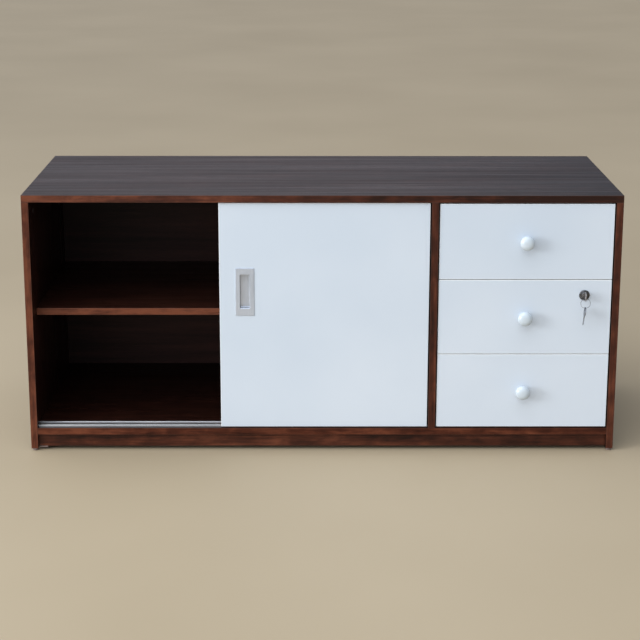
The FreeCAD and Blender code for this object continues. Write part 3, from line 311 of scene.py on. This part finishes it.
# %% [markdown]
# Where a board's face meets its edge band there is a fine border: on the dark boards the lacquer is
# a little thinner and paler there, and on the white boards the band shows as a whiter line, partly
# its own colour and partly a painted highlight along the edge.
# Painting it by hand would need an image. Measuring the distance to the board's own outline gives
# the same line from four numbers, sharp at any size.

# %% Border of a board
BORDER_SHARP = 0.6  # the share of a border's width that keeps its full strength


def border(material, node, axes, width):
    """1 next to the board's outline along two axes, fading to 0 at a width inside it.

    For each axis the distance to the nearer side is half the board's size less the distance from
    its middle; the border is where the smaller of the two is small.
    """
    low, high = corners(node)
    source = add(material, "ShaderNodeTexCoord", {}).outputs["Object"]
    gaps = []
    for axis in axes:
        offset = calc(material, "SUBTRACT", axis_of(material, source, axis),
                      float(low[axis] + high[axis]) / 2)
        away = calc(material, "ABSOLUTE", offset)
        gaps.append(calc(material, "SUBTRACT", float(high[axis] - low[axis]) / 2, away))
    nearest = calc(material, "MINIMUM", *gaps)
    return spread(material, nearest, 1.0, 0.0, width * BORDER_SHARP, width)


print("border helper ready")

# %% [markdown]
# The wood is a dark stained veneer under satin lacquer. Real veneer could be photographed, but a
# computed grain has no seams and follows each board. Noises are stretched along the grain: broad
# bands of tone, short clouds, streaks, fine lines, and thin dark pores. The front edges carry a
# redder, paler band, found by the way the surface faces. That is partly the band's own colour and
# partly painted shade, for the broad faces are painted much darker, and the band is painted paler
# towards the window end as painted light. The band is rubbed paler still at its border. Pores are
# slightly sunk, and the lacquer is duller where they are dense and in long smears where it has been
# wiped. Each board starts at another place in the pattern, so no two match.

# %% Grain of the dark wood
# Each pattern: cells for each metre along and across the grain, detail, roughness and twist.
GRAIN = {"bands": (2.4, 11.0, 2.0, 0.5, 0.7), "mottle": (22.0, 40.0, 3.0, 0.55, 0.4),
         "streaks": (4.5, 60.0, 6.0, 0.62, 0.5), "fine": (9.0, 300.0, 3.0, 0.6, 0.0),
         "pores": (26.0, 900.0, 2.0, 0.5, 0.0), "smears": (1.3, 38.0, 5.0, 0.65, 0.0)}
# How much a pattern counts in a board's tone.
TONE_SHARES = {"bands": 0.20, "mottle": 0.28, "streaks": 0.32, "fine": 0.20}
# Each stop: a tone and its colour.
# Painted shade: the broad faces are far darker than the edge band, partly their own colour.
FACE_TONES_WITH_PAINTED_SHADE = [(0.36, (0.0055, 0.0020, 0.0015)), (0.50, (0.0150, 0.0048, 0.0031)),
              (0.64, (0.0330, 0.0105, 0.0064))]
BAND_TONES = [(0.39, (0.0190, 0.0052, 0.0030)), (0.50, (0.0680, 0.0180, 0.0092)),
              (0.61, (0.1550, 0.0460, 0.0225))]
PORE_TONE, PORE_COVER, PORE_RANGE = (0.010, 0.004, 0.003, 1), 0.5, (0.60, 0.74)
RUBBED_TONE, RUBBED_COVER, RUBBED_WIDTH = (0.105, 0.042, 0.027, 1), 0.5, 1.3 * MM
EDGE_FACING = (0.55, 0.85)  # how squarely a surface faces the front before it counts as an edge
LACQUER_ROUGHNESS, PORE_ROUGHNESS = (0.24, 0.42), 0.10
PORE_STRENGTH, PORE_DEPTH = 0.35, 0.3 * MM
print(f"{len(GRAIN)} patterns in the grain")

# %% Dark wood


def dark_wood(name, grain_axis, shift, node, lighter, window_light_slope, gloss=0.22):
    """Stained veneer whose grain runs along one axis.

    A board may be lighter or darker than the others, and its edge band is painted paler by an
    amount for each metre towards the window end, as painted light from the window.
    """
    material, shader = finish(name, Specular_IOR_Level=gloss)
    along = np.eye(3)[grain_axis]
    pattern = {}
    for kind, (long_scale, cross_scale, *rest) in GRAIN.items():
        stretch = tuple(long_scale * along + cross_scale * (1 - along))
        pattern[kind] = noise(material, place(material, stretch, shift), 1.0, *rest)

    tone = lighter
    for kind, share in TONE_SHARES.items():
        tone = calc(material, "MULTIPLY_ADD", pattern[kind], share, tone)
    face = ramp(material, tone, FACE_TONES_WITH_PAINTED_SHADE)
    # Painted light: the band grows paler for each metre towards the window end, at -X.
    window_lit_tone = calc(material, "MULTIPLY_ADD", axis_of(material, place(material), 0), -window_light_slope, tone)
    band = ramp(material, window_lit_tone, BAND_TONES)

    # Colour by facing: front faces take the band, the rest the darker tones, partly painted shade.
    facing = add(material, "ShaderNodeNewGeometry", {}).outputs["Normal"]
    forward = calc(material, "MULTIPLY", axis_of(material, facing, 1), -1.0)
    is_edge = spread(material, forward, 0.0, 1.0, *EDGE_FACING)
    colour = mix(material, is_edge, face, band)
    rubbed = calc(material, "MULTIPLY", border(material, node, (0, 2), RUBBED_WIDTH), is_edge)
    rubbed = calc(material, "MULTIPLY", rubbed, RUBBED_COVER)
    colour = mix(material, rubbed, colour, RUBBED_TONE)
    pores = spread(material, pattern["pores"], 0.0, 1.0, *PORE_RANGE)
    colour = mix(material, calc(material, "MULTIPLY", pores, PORE_COVER), colour, PORE_TONE)

    wiped = spread(material, pattern["smears"], *LACQUER_ROUGHNESS, *NOISE_RANGE)
    rough = calc(material, "MULTIPLY_ADD", pores, PORE_ROUGHNESS, wiped)
    feed(material, shader, Base_Color=colour, Roughness=rough)
    sunk = calc(material, "MULTIPLY", pores, -1.0)
    height = calc(material, "MULTIPLY_ADD", pattern["fine"], 0.5, sunk)
    relief(material, shader, height, PORE_STRENGTH, PORE_DEPTH)
    return material


print("wood ready")

# %% Boards of dark wood
# Each board: how much lighter, its painted window light for each metre, and any gloss of its own.
LEVEL_BOARDS = {
    "top_panel": (-0.025, 0.12, 0.25), "bottom_panel": (0.020, 0.04, 0.12), "shelf": (0.080, 0.0),
    "front_plinth": (-0.018, 0.02), "rear_plinth": (-0.018, 0.02), "lock_rail": (0.0, 0.0),
}
UPRIGHT_BOARDS = {
    "left_side_panel": (0.055, 0.0), "right_side_panel": (0.010, 0.0),
    "centre_divider": (-0.035, 0.0),
}
ALONG_X, ALONG_Z = 0, 2
wood_of = {}
for number, (node, tone) in enumerate(LEVEL_BOARDS.items()):
    shift = (0.37 * number, 0.9 * number, 0.23 * number)
    wood_of[node] = dark_wood(f"wood_{node}", ALONG_X, shift, node, *tone)
for number, (node, tone) in enumerate(UPRIGHT_BOARDS.items()):
    shift = (1.7 * number, 0.4, 0.61 * number)
    wood_of[node] = dark_wood(f"wood_{node}", ALONG_Z, shift, node, *tone)
print(f"{len(wood_of)} boards of dark wood")

# %% [markdown]
# The rear sheet is thin hardboard with a printed wood film on it. It needs the same colours as the
# boards but a flatter, drier look, so its pattern is softer and its surface rougher. The print is
# painted darker towards the left end: painted shade, where the left side panel shades the bay.

# %% Rear sheet
SHEET_TONES = [(0.3, (0.022, 0.0100, 0.0080)), (0.7, (0.085, 0.0345, 0.0270))]
# Painted shade: left of a point, the tone falls by an amount for each metre.
SHEET_LIGHTER, SHADE_FADE_EACH_METRE, SHADE_FADE_UP_TO = 0.24, 0.55, -0.25
back_sheet, shader = finish("back_sheet", Specular_IOR_Level=0.2)
printed = place(back_sheet, (1.4, 30.0, 30.0), (3.1, 0, 5.7))
printed = noise(back_sheet, printed, detail=5.0, rough=0.6)
fibres = noise(back_sheet, place(back_sheet, (60.0, 60.0, 420.0)), detail=2.0)
tone = calc(back_sheet, "MULTIPLY_ADD", fibres, 0.2, calc(back_sheet, "MULTIPLY", printed, 0.8))
tone = calc(back_sheet, "ADD", tone, SHEET_LIGHTER)
# Painted shade, darker towards the left end.
reach = calc(back_sheet, "MINIMUM", axis_of(back_sheet, place(back_sheet), 0), SHADE_FADE_UP_TO)
tone = calc(back_sheet, "MULTIPLY_ADD", reach, SHADE_FADE_EACH_METRE, tone)
feed(back_sheet, shader, Base_Color=ramp(back_sheet, tone, SHEET_TONES),
     Roughness=spread(back_sheet, fibres, 0.42, 0.60))
relief(back_sheet, shader, fibres, 0.15, 0.2 * MM)
print("rear sheet finished")

# %% [markdown]
# White laminate looks plain, yet a perfectly even white reads as paper. Real melamine board has a
# faint orange-peel texture from its press plate, cloudy differences in gloss, and a whiter band
# along its edges, here partly the band's own colour and partly a painted highlight. The clouds are
# large and weak, the peel is fine and shallow, and the band is the border helper at work.

# %% White laminate
FRONT_WHITES = ((0.595, 0.665, 0.755), (0.655, 0.715, 0.795))
DRAWER_WHITES = ((0.62, 0.64, 0.65), (0.72, 0.73, 0.73))
# Painted highlight: the band's white is partly its own colour, partly a bright line at the edge.
BAND_WHITE_AND_HIGHLIGHT, BAND_WIDTH = (0.83, 0.86, 0.89, 1), 1.6 * MM


def white_laminate(name, whites, node=None):
    """Melamine: cloudy white, orange peel, and a whiter band, partly painted highlight, at its rim.
    """
    material, shader = finish(name, Specular_IOR_Level=0.45)
    clouds = noise(material, place(material, (2.2, 2.2, 2.2)), detail=3.0, rough=0.45)
    peel = noise(material, place(material), scale=650.0, detail=2.0)
    colour = ramp(material, clouds, [(0.35, whites[0]), (0.65, whites[1])])
    if node is not None:
        # Painted highlight along the outline, partly the edge band's own white.
        line = border(material, node, (0, 2), BAND_WIDTH)
        colour = mix(material, line, colour, BAND_WHITE_AND_HIGHLIGHT)
    cloudy = spread(material, clouds, 0.30, 0.42, *NOISE_RANGE)
    rough = calc(material, "MULTIPLY_ADD", peel, 0.08, cloudy)
    feed(material, shader, Base_Color=colour, Roughness=rough)
    relief(material, shader, peel, 0.05, 0.2 * MM)
    return material


white_of = {node: white_laminate(f"laminate_{node}", FRONT_WHITES, node)
            for node, slot in slot_of.items() if slot == "white_board"}
drawer_board = white_laminate("drawer_board", DRAWER_WHITES)
print(f"{len(white_of)} white boards")

# %% [markdown]
# Metals differ by colour and by how they were worked. Drawn aluminium has fine lines along its
# length, cast and plated parts are cloudy, and zinc-plated steel is bluish and blotchy. One
# function serves them all: a tint, a range of roughness, and a pattern that may be stretched into
# lines. The pulls are nickel under clear lacquer, which is a little less metallic, and the collar
# of the lock has a clear coat for its deep shine.

# %% Metals


def metal(name, dark, light, smooth, rough, stretch=(1, 1, 1), scale=120.0, scratch=0.12,
          metallic=1.0, **sockets):
    """A metal with clouds of tone and, if the pattern is stretched, brushed lines."""
    material, shader = finish(name, Metallic=metallic, **sockets)
    lines = noise(material, place(material, stretch), scale=scale, detail=4.0, rough=0.65)
    clouds = noise(material, place(material), scale=24.0, detail=2.0)
    tone = calc(material, "MULTIPLY_ADD", lines, 0.5, calc(material, "MULTIPLY", clouds, 0.5))
    feed(material, shader, Base_Color=ramp(material, tone, [(0.35, dark), (0.65, light)]),
         Roughness=spread(material, lines, smooth, rough, *NOISE_RANGE))
    relief(material, shader, lines, scratch, 0.05 * MM)
    return material


def satin_nickel(name):
    """Brushed nickel under clear lacquer, brushed along Z."""
    return metal(name, (0.55, 0.612, 0.725), (0.675, 0.732, 0.85), 0.28, 0.40, (6, 6, 0.06),
                 metallic=0.7)


FINISHES = {
    "satin_aluminium": metal("satin_aluminium", (0.74, 0.76, 0.79), (0.90, 0.91, 0.93), 0.40, 0.55,
                             (0.04, 8, 8)),
    "zinc_steel": metal("zinc_steel", (0.42, 0.46, 0.52), (0.58, 0.63, 0.70), 0.25, 0.45,
                        scale=300.0),
    # Painted reflection: the dark tint is partly a dark chrome finish, partly a dark room mirrored.
    "dark_chrome": metal("dark_chrome", (0.036, 0.040, 0.048), (0.13, 0.138, 0.155), 0.12, 0.24,
                         scale=500.0, Coat_Weight=1.0, Coat_Roughness=0.08),
    "nickel": metal("nickel", (0.10, 0.106, 0.125), (0.30, 0.315, 0.345), 0.20, 0.36, scale=700.0),
    "satin_nickel": satin_nickel("satin_nickel"),
}
OWN_FINISHES = {
    "key": metal("worn_nickel", (0.27, 0.26, 0.265), (0.55, 0.52, 0.52), 0.22, 0.40, scale=600.0),
    "lock_plug": metal("plug_nickel", (0.07, 0.075, 0.085), (0.46, 0.47, 0.50), 0.20, 0.40,
                       scale=420.0, scratch=0.5),
}
print(f"{len(FINISHES) + len(OWN_FINISHES)} metals")

# %% [markdown]
# Plastics are coloured through. The knobs are glossy, the guides are dull with the fine grain of a
# mould, and the glides are faced with felt. The dowels are plain pale beech, whose short rays run
# along the pin.

# %% Plastics and beech


def plastic(name, dark, light, smooth, rough, grain=900.0, depth=0.06, **sockets):
    """Coloured plastic with faint clouds and the skin of its mould."""
    material, shader = finish(name, **sockets)
    clouds = noise(material, place(material), scale=45.0, detail=3.0)
    mould = noise(material, place(material), scale=grain, detail=2.0)
    feed(material, shader, Base_Color=ramp(material, clouds, [(0.3, dark), (0.7, light)]),
         Roughness=spread(material, mould, smooth, rough, *NOISE_RANGE))
    relief(material, shader, mould, depth, 0.1 * MM)
    return material


FINISHES["knob_gloss"] = plastic("knob_gloss", (0.56, 0.64, 0.71), (0.62, 0.69, 0.76), 0.10, 0.17,
                                 500.0, 0.015, Coat_Weight=0.35, Coat_Roughness=0.06)
FINISHES["brown_plastic"] = plastic("brown_plastic", (0.030, 0.016, 0.011), (0.050, 0.027, 0.018),
                                    0.38, 0.52)
FINISHES["pale_plastic"] = plastic("pale_plastic", (0.55, 0.54, 0.50), (0.66, 0.65, 0.61),
                                   0.35, 0.50)
FINISHES["wheel_nylon"] = plastic("wheel_nylon", (0.62, 0.62, 0.60), (0.74, 0.74, 0.72),
                                  0.28, 0.40)
OWN_FINISHES["floor_glides"] = plastic("felt", (0.17, 0.125, 0.115), (0.27, 0.205, 0.19),
                                       0.75, 0.9, grain=1500.0, depth=0.3)

BEECH_TONES = [(0.3, (0.42, 0.26, 0.14)), (0.7, (0.60, 0.41, 0.24))]
beech, shader = finish("beech")
rays = noise(beech, place(beech, (90, 90, 30)), detail=4.0)
feed(beech, shader, Base_Color=ramp(beech, rays, BEECH_TONES),
     Roughness=spread(beech, rays, 0.55, 0.75))
relief(beech, shader, rays, 0.2, 0.2 * MM)
FINISHES.update({"beech": beech, "back_sheet": back_sheet, "drawer_board": drawer_board})
print(f"{len(FINISHES)} finishes by slot, {len(OWN_FINISHES)} of a part's own")

# %% [markdown]
# Every node gets its finish in one place: first the parts that differ from their slot, then the
# boards that have a material of their own, and the rest by the name of their slot. It could be
# typed part by part, but a lookup can't leave one out.

# %% Put the finishes on


def finish_of(node):
    """The material for a node: its own, its board's, or its slot's."""
    for materials in (OWN_FINISHES, wood_of, white_of):
        if node in materials:
            return materials[node]
    return FINISHES[slot_of[node]]


for node, thing in nodes.items():
    thing.data.materials.clear()
    thing.data.materials.append(finish_of(node))
print(f"{len(bpy.data.materials)} materials on {len(nodes)} nodes")

# %% [markdown]
# New pieces are surfaces worked out with numpy. Most are a stack of closed loops: circles that grow
# and shrink make a turned knob, rounded rectangles make a pull, and circles carried round a path
# make a ring. Blender's own primitives could be joined instead, but a stack of loops is one closed
# skin, and its outline is a list of numbers.

# %% Skins from loops
SHARP_FROM = math.radians(40)  # edges that turn more than this look sharp


def skin(name, loops, round_trip=False):
    """A closed mesh through a stack of loops.

    The loops are an array of levels, points and coordinates. Four neighbouring points make a face.
    Each end is closed by a fan round its mean point, unless the last level meets the first again.
    A skin whose signed volume comes out negative has its faces turned over, so they point outwards.
    """
    levels, count = loops.shape[:2]
    steps = levels if round_trip else levels - 1
    level, point = np.meshgrid(np.arange(steps), np.arange(count), indexing="ij")
    upper, after = (level + 1) % levels, (point + 1) % count
    faces = np.stack([level * count + point, level * count + after,
                      upper * count + after, upper * count + point], -1).reshape(-1, 4)
    points = loops.reshape(-1, 3)
    triangles = np.concatenate([faces[:, [0, 1, 2]], faces[:, [0, 2, 3]]])
    fans = np.zeros((0, 3), int)
    if not round_trip:
        around = np.arange(count)
        next_around = (around + 1) % count
        last = (levels - 1) * count
        points = np.concatenate([points, loops[:1].mean(1), loops[-1:].mean(1)])
        first_mean = np.full(count, levels * count)
        bottom = np.stack([next_around, around, first_mean], -1)
        top = np.stack([last + around, last + next_around, first_mean + 1], -1)
        fans = np.concatenate([bottom, top])
        triangles = np.concatenate([triangles, fans])
    a, b, c = (points[triangles[:, k]] for k in range(3))
    if np.einsum("ij,ij->i", a, np.cross(b, c)).sum() < 0:
        faces, fans = faces[:, ::-1], fans[:, ::-1]
    mesh = bpy.data.meshes.new(name)
    mesh.from_pydata(points.tolist(), [], faces.tolist() + fans.tolist())
    mesh.shade_smooth()
    mesh.set_sharp_from_angle(angle=SHARP_FROM)
    piece = bpy.data.objects.new(name, mesh)
    bpy.context.collection.objects.link(piece)
    return piece


print("loops become closed skins")

# %% Circles and curves


def circles(profile, centre, axis, count=72):
    """Loops of a turned shape: each profile point is a radius and a distance along the axis.

    A point at an angle lies at the centre, plus the distance along the axis, plus the radius times
    cosine and sine along two directions square to the axis.
    """
    axis = np.array(axis, float)
    helper = np.array([0.0, 0.0, 1.0]) if abs(axis[2]) < 0.5 else np.array([1.0, 0.0, 0.0])
    side = np.cross(axis, helper)
    side /= np.linalg.norm(side)
    other = np.cross(axis, side)
    angle = np.linspace(0, 2 * np.pi, count, endpoint=False)[None, :, None]
    radius, along = np.array(profile, float).T[:, :, None, None] * MM
    outward = np.cos(angle) * side + np.sin(angle) * other
    return np.array(centre) + along * axis + radius * outward


def curved(points, per_span=6):
    """A smooth line through points.

    Each span is a cubic, and where two spans meet both have the slope of the line between the
    points on either side.
    """
    points = np.array(points, float)
    padded = np.concatenate([2 * points[:1] - points[1:2], points, 2 * points[-1:] - points[-2:-1]])
    p0, p1, p2, p3 = (padded[k:len(padded) - 3 + k, None] for k in range(4))
    t = np.linspace(0, 1, per_span, endpoint=False)[None, :, None]
    cubic = 0.5 * (2 * p1 + (p2 - p0) * t + (2 * p0 - 5 * p1 + 4 * p2 - p3) * t ** 2
                   + (3 * p1 - p0 - 3 * p2 + p3) * t ** 3)
    return np.concatenate([cubic.reshape(-1, points.shape[1]), points[-1:]])


print("profiles become loops")

# %% Dressing a node


def dress(piece, node, material=None):
    """Let a piece stand for a node: its body, its finish."""
    piece.data.materials.clear()
    piece.data.materials.append(material or finish_of(node))
    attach(piece, body_of[node])
    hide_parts(node)
    return piece


print("a piece can stand for a node")

# %% [markdown]
# A knob is turned or moulded about one axis: a foot against the front, a waist that fingers reach
# behind, and a flattened ball. It could be a squashed sphere on a cone, but then the waist would be
# a sharp crease. One smooth profile gives it the small hollow that the real one has.

# %% Knobs
TOWARDS_FRONT, TOWARDS_BACK = (0, -1, 0), (0, 1, 0)
DRAWERS = ("upper", "middle", "lower")
# Each point: radius and distance from the drawer's front.
KNOB_PROFILE = [
    (10.4, 0.0), (11.0, 0.5), (10.8, 1.5), (9.9, 4.2), (9.2, 6.6), (9.7, 8.4), (12.0, 9.9),
    (15.2, 12.1), (17.6, 15.3), (18.5, 19.0), (18.0, 22.6), (16.2, 25.9), (12.9, 28.6),
    (8.6, 30.2), (4.0, 30.9), (1.0, 31.0),
]
for level in DRAWERS:
    node = f"{level}_drawer_knob"
    x_knob, _, z_knob = middle(node)
    foot = (x_knob, corners(node)[1][1], z_knob)
    knob = skin(f"{level}_turned_knob", circles(curved(KNOB_PROFILE), foot, TOWARDS_FRONT))
    dress(knob, node)
print(f"knob: {len(knob.data.polygons)} faces")

# %% [markdown]
# A flush pull is a pressed tray: a flat rim on the door's face and a finger cup sunk into the
# board. Cutting a hole in a block would leave knife edges. Here rounded rectangles are stacked
# from the back of the cup, out round the rim, and down into the cup again, each a little smaller
# or larger than the last, so every edge has the small radius of pressed metal. The walls of the
# cup are painted darker than its floor, as painted shade inside the recess.

# %% Rim and cup of a pull
# Half width and half height in millimetres, and how far the cup sits above the rim's middle.
RIM, CUP = (23.5, 61.5), (12.1, 43.4)
CUP_RISE = 1.4


def rim_level(inside, radius, reach):
    """A rounded rectangle some way inside the rim's outline, at a distance before the door."""
    return RIM[0] - inside, RIM[1] - inside, radius, 0.0, reach


def cup_level(outside, radius, reach):
    """A rounded rectangle some way outside the cup's walls, at a distance before the door."""
    return CUP[0] + outside, CUP[1] + outside, radius, CUP_RISE, reach


# Each level: half width, half height, corner radius, rise of its middle, and distance in front of
# the door. The first two close the back of the cup.
PULL_LEVELS = [
    (10.85, 42.1, 1.6, CUP_RISE, -10.6), (12.65, 44.0, 1.8, CUP_RISE, -10.5),
    cup_level(1.2, 2.0, -9.8), cup_level(1.2, 2.0, 0.0),
    rim_level(0.2, 1.4, 0.0), rim_level(0.0, 1.5, 0.15), rim_level(0.0, 1.5, 0.95),
    rim_level(0.2, 1.4, 1.4), rim_level(0.65, 1.1, 1.6), rim_level(1.0, 1.0, 1.6),
    cup_level(1.4, 1.9, 1.6), cup_level(0.95, 1.7, 1.6), cup_level(0.65, 1.5, 1.54),
    cup_level(0.2, 1.2, 1.25), cup_level(0.0, 1.0, 0.7), cup_level(0.0, 1.0, 0.3),
    cup_level(0.0, 1.0, -8.0), cup_level(0.0, 1.0, -8.4), cup_level(-0.3, 0.9, -9.0),
    cup_level(-1.0, 0.7, -9.35), cup_level(-2.5, 0.5, -9.4),
]
print(f"{len(PULL_LEVELS)} levels in a pull")

# %% Flush pulls
# Depths behind the door's face, in millimetres, between which the painted shade on the cup's walls
# grows and ends.
CUP_MOUTH, CUP_FLOOR = (0.2, 1.0), (8.4, 9.2)
# Painted shade: the dark colour of the cup's walls.
CUP_PAINTED_SHADE_TONE = (0.075, 0.083, 0.10, 1)


def rounded_rectangle(half_width, half_height, radius, per_corner=7):
    """Points round a rectangle.

    A quarter of a circle goes about the centre of each corner, and straight sides join them.
    """
    turn = np.linspace(0, np.pi / 2, per_corner)
    quarter = np.arange(4)[:, None] * np.pi / 2
    angle = (quarter + turn).ravel()
    side = np.repeat([[1, 1], [-1, 1], [-1, -1], [1, -1]], per_corner, axis=0)
    centre = side * (np.array([half_width, half_height]) - radius)
    return centre + radius * np.stack([np.cos(angle), np.sin(angle)], -1)


def paint_cup_shade(material, door_face):
    """Paint shade on a finger cup's walls, from just behind its mouth to just before its floor."""
    shader = material.node_tree.nodes["Principled BSDF"]
    plain = shader.inputs["Base Color"].links[0].from_socket
    depth = axis_of(material, place(material), 1)
    mouth, bottom = ([door_face + d * MM for d in depths] for depths in (CUP_MOUTH, CUP_FLOOR))
    entered = spread(material, depth, 0.0, 1.0, *mouth)
    above_floor = spread(material, depth, 1.0, 0.0, *bottom)
    amount = calc(material, "MULTIPLY", entered, above_floor)
    feed(material, shader, Base_Color=mix(material, amount, plain, CUP_PAINTED_SHADE_TONE))


for side in ("front", "rear"):
    node = f"{side}_door_pull"
    door_face = corners(f"{side}_door_panel")[0][1]
    x_pull, _, z_pull = middle(node)
    loops = []
    for half_width, half_height, radius, rise, reach in PULL_LEVELS:
        across, up = rounded_rectangle(half_width, half_height, radius).T
        depth = np.full(len(across), door_face - reach * MM)
        loops.append(np.stack([x_pull + across * MM, depth, z_pull + (up + rise) * MM], -1))
    pull = skin(f"{side}_pressed_pull", np.array(loops))
    nickel = satin_nickel(f"{side}_pull_nickel")
    # Painted shade on the walls of the cup.
    paint_cup_shade(nickel, door_face)
    dress(pull, node, nickel)
print(f"pull: {len(pull.data.polygons)} faces")

# %% [markdown]
# The lock shows a collar of dark chrome, its dark tint partly a painted reflection of a dark room,
# with the bright plug inside it. The collar is a turned ring whose profile runs out along its face,
# through a shallow groove, over its rounded bevel, back along the barrel and home through the bore,
# so it is one closed skin with a hole through it.

# %% Lock collar and barrel
# Each point: radius and distance behind the drawer's front, negative in front of it.
COLLAR_PROFILE = [
    (6.55, -2.2), (6.75, -2.8), (7.1, -3.0), (7.8, -3.0), (8.2, -2.85), (8.9, -2.4), (9.3, -2.25),
    (9.7, -2.35), (10.3, -2.8), (10.7, -2.97), (11.7, -2.95), (12.5, -2.65), (13.15, -2.05),
    (13.5, -1.2), (13.5, 0.0), (9.5, 0.0), (9.5, 26.6), (9.1, 27.0), (6.55, 27.0),
]
x_lock, _, z_lock = middle("lock_barrel")
lock_centre = (x_lock, corners("middle_drawer_front")[0][1], z_lock)
collar = skin("bevelled_lock_collar", circles(COLLAR_PROFILE, lock_centre, TOWARDS_BACK),
              round_trip=True)
dress(collar, "lock_barrel")
print(f"collar: {len(collar.data.polygons)} faces")

# %% [markdown]
# The key ring is a split ring: round spring wire wound twice. A plain torus would be one closed
# hoop. Here the wire's middle goes round twice and steps sideways once, halfway along, and a circle
# carried along it gives the wire its thickness, closed at both ends.

# %% Split ring
RING_RADIUS, WIRE_RADIUS, WIRE_SHIFT = 12.2, 0.40, 0.38
WIRE_START = 0.6  # the angle at which the wire begins
STEP_SHARPNESS = 6  # how quickly the wire crosses from one coil to the next


def split_ring(name, centre, turns=2, per_turn=72, around=12):
    """Wire wound about the Y axis.

    At an angle the wire's middle is the ring's radius times cosine and sine in the plane of the
    ring, moved along Y by the shift times a hyperbolic tangent that runs from minus to plus one.
    The section adds the wire's radius times cosine outwards and times sine along Y.
    """
    t = np.linspace(0, 2 * np.pi * turns, turns * per_turn + 1)[:, None] + WIRE_START
    s = np.linspace(0, 2 * np.pi, around, endpoint=False)[None]
    reach = RING_RADIUS + WIRE_RADIUS * np.cos(s)
    climb = WIRE_SHIFT * np.tanh(STEP_SHARPNESS * (np.linspace(-1, 1, len(t))[:, None]))
    along = climb + WIRE_RADIUS * np.sin(s) + 0 * t
    ring = np.stack([reach * np.cos(t), along, reach * np.sin(t)], -1)
    return skin(name, np.array(centre) + ring * MM)


dress(split_ring("split_key_ring", middle("key_ring")), "key_ring")
print("split ring wound")

# %% [markdown]
# Many small parts have the right shape already and only lack the small radius that every real edge
# has. Their meshes belong to the construction model and stay as they are, so each one is copied,
# its loose triangles are merged into clean faces, and a Bevel modifier rounds the copy's edges.

# %% Softened copies
MERGE_WITHIN = 1e-6
FLAT_WITHIN, ROUND_FROM = math.radians(0.5), math.radians(35)


def softened(node, width):
    """A merged copy of a node whose edges are rounded by a width in millimetres."""
    mesh = nodes[node].data.copy()
    mesh.name = f"{node}_softened"
    work = bmesh.new()
    work.from_mesh(mesh)
    bmesh.ops.remove_doubles(work, verts=work.verts, dist=MERGE_WITHIN)
    bmesh.ops.dissolve_limit(work, angle_limit=FLAT_WITHIN, verts=work.verts, edges=work.edges)
    bmesh.ops.recalc_face_normals(work, faces=work.faces)
    work.to_mesh(mesh)
    work.free()
    mesh.shade_smooth()
    mesh.set_sharp_from_angle(angle=ROUND_FROM)
    piece = bpy.data.objects.new(f"{node}_softened", mesh)
    bpy.context.collection.objects.link(piece)
    bevel = piece.modifiers.new("edges", "BEVEL")
    bevel.width = width * MM
    bevel.segments = 2
    bevel.limit_method = "ANGLE"
    bevel.angle_limit = ROUND_FROM
    return dress(piece, node)


# How round the edges of each part are, in millimetres.
SOFT_EDGES = {
    "door_strips": 0.5, "floor_glides": 0.8, "key": 0.35, "spare_key": 0.35, "lock_plug": 0.2,
    "lock_cam": 0.3, "runner_outer_members": 0.25, "top_track": 0.3,
    "front_door_wheel_carriers": 0.3, "rear_door_wheel_carriers": 0.3,
    "front_door_top_guides": 0.5, "rear_door_top_guides": 0.5,
}
for level in DRAWERS:
    SOFT_EDGES[f"{level}_drawer_runner_inner_members"] = 0.25
    SOFT_EDGES[f"{level}_drawer_runner_intermediate_members"] = 0.25
for node, width in SOFT_EDGES.items():
    softened(node, width)
print(f"{len(SOFT_EDGES)} parts softened")

# %% [markdown]
# The cabinet stands on a plain pale floor, large enough that no edge of it shows from any side.
# A faint cloudiness keeps it from looking like an empty page.

# %% Floor
FLOOR_HALF = 30.0
FLOOR_TONES = [(0.3, (0.425, 0.339, 0.226)), (0.7, (0.465, 0.374, 0.254))]
floor_mesh = bpy.data.meshes.new("floor")
floor_corners = [(-FLOOR_HALF, -FLOOR_HALF, 0), (FLOOR_HALF, -FLOOR_HALF, 0),
                 (FLOOR_HALF, FLOOR_HALF, 0), (-FLOOR_HALF, FLOOR_HALF, 0)]
floor_mesh.from_pydata(floor_corners, [], [(0, 1, 2, 3)])
floor = bpy.data.objects.new("floor", floor_mesh)
bpy.context.collection.objects.link(floor)
floor_paint, shader = finish("floor_paint")
clouds = noise(floor_paint, place(floor_paint), scale=0.8, detail=3.0)
feed(floor_paint, shader, Base_Color=ramp(floor_paint, clouds, FLOOR_TONES),
     Roughness=spread(floor_paint, clouds, 0.62, 0.72))
floor_mesh.materials.append(floor_paint)
print("floor laid")
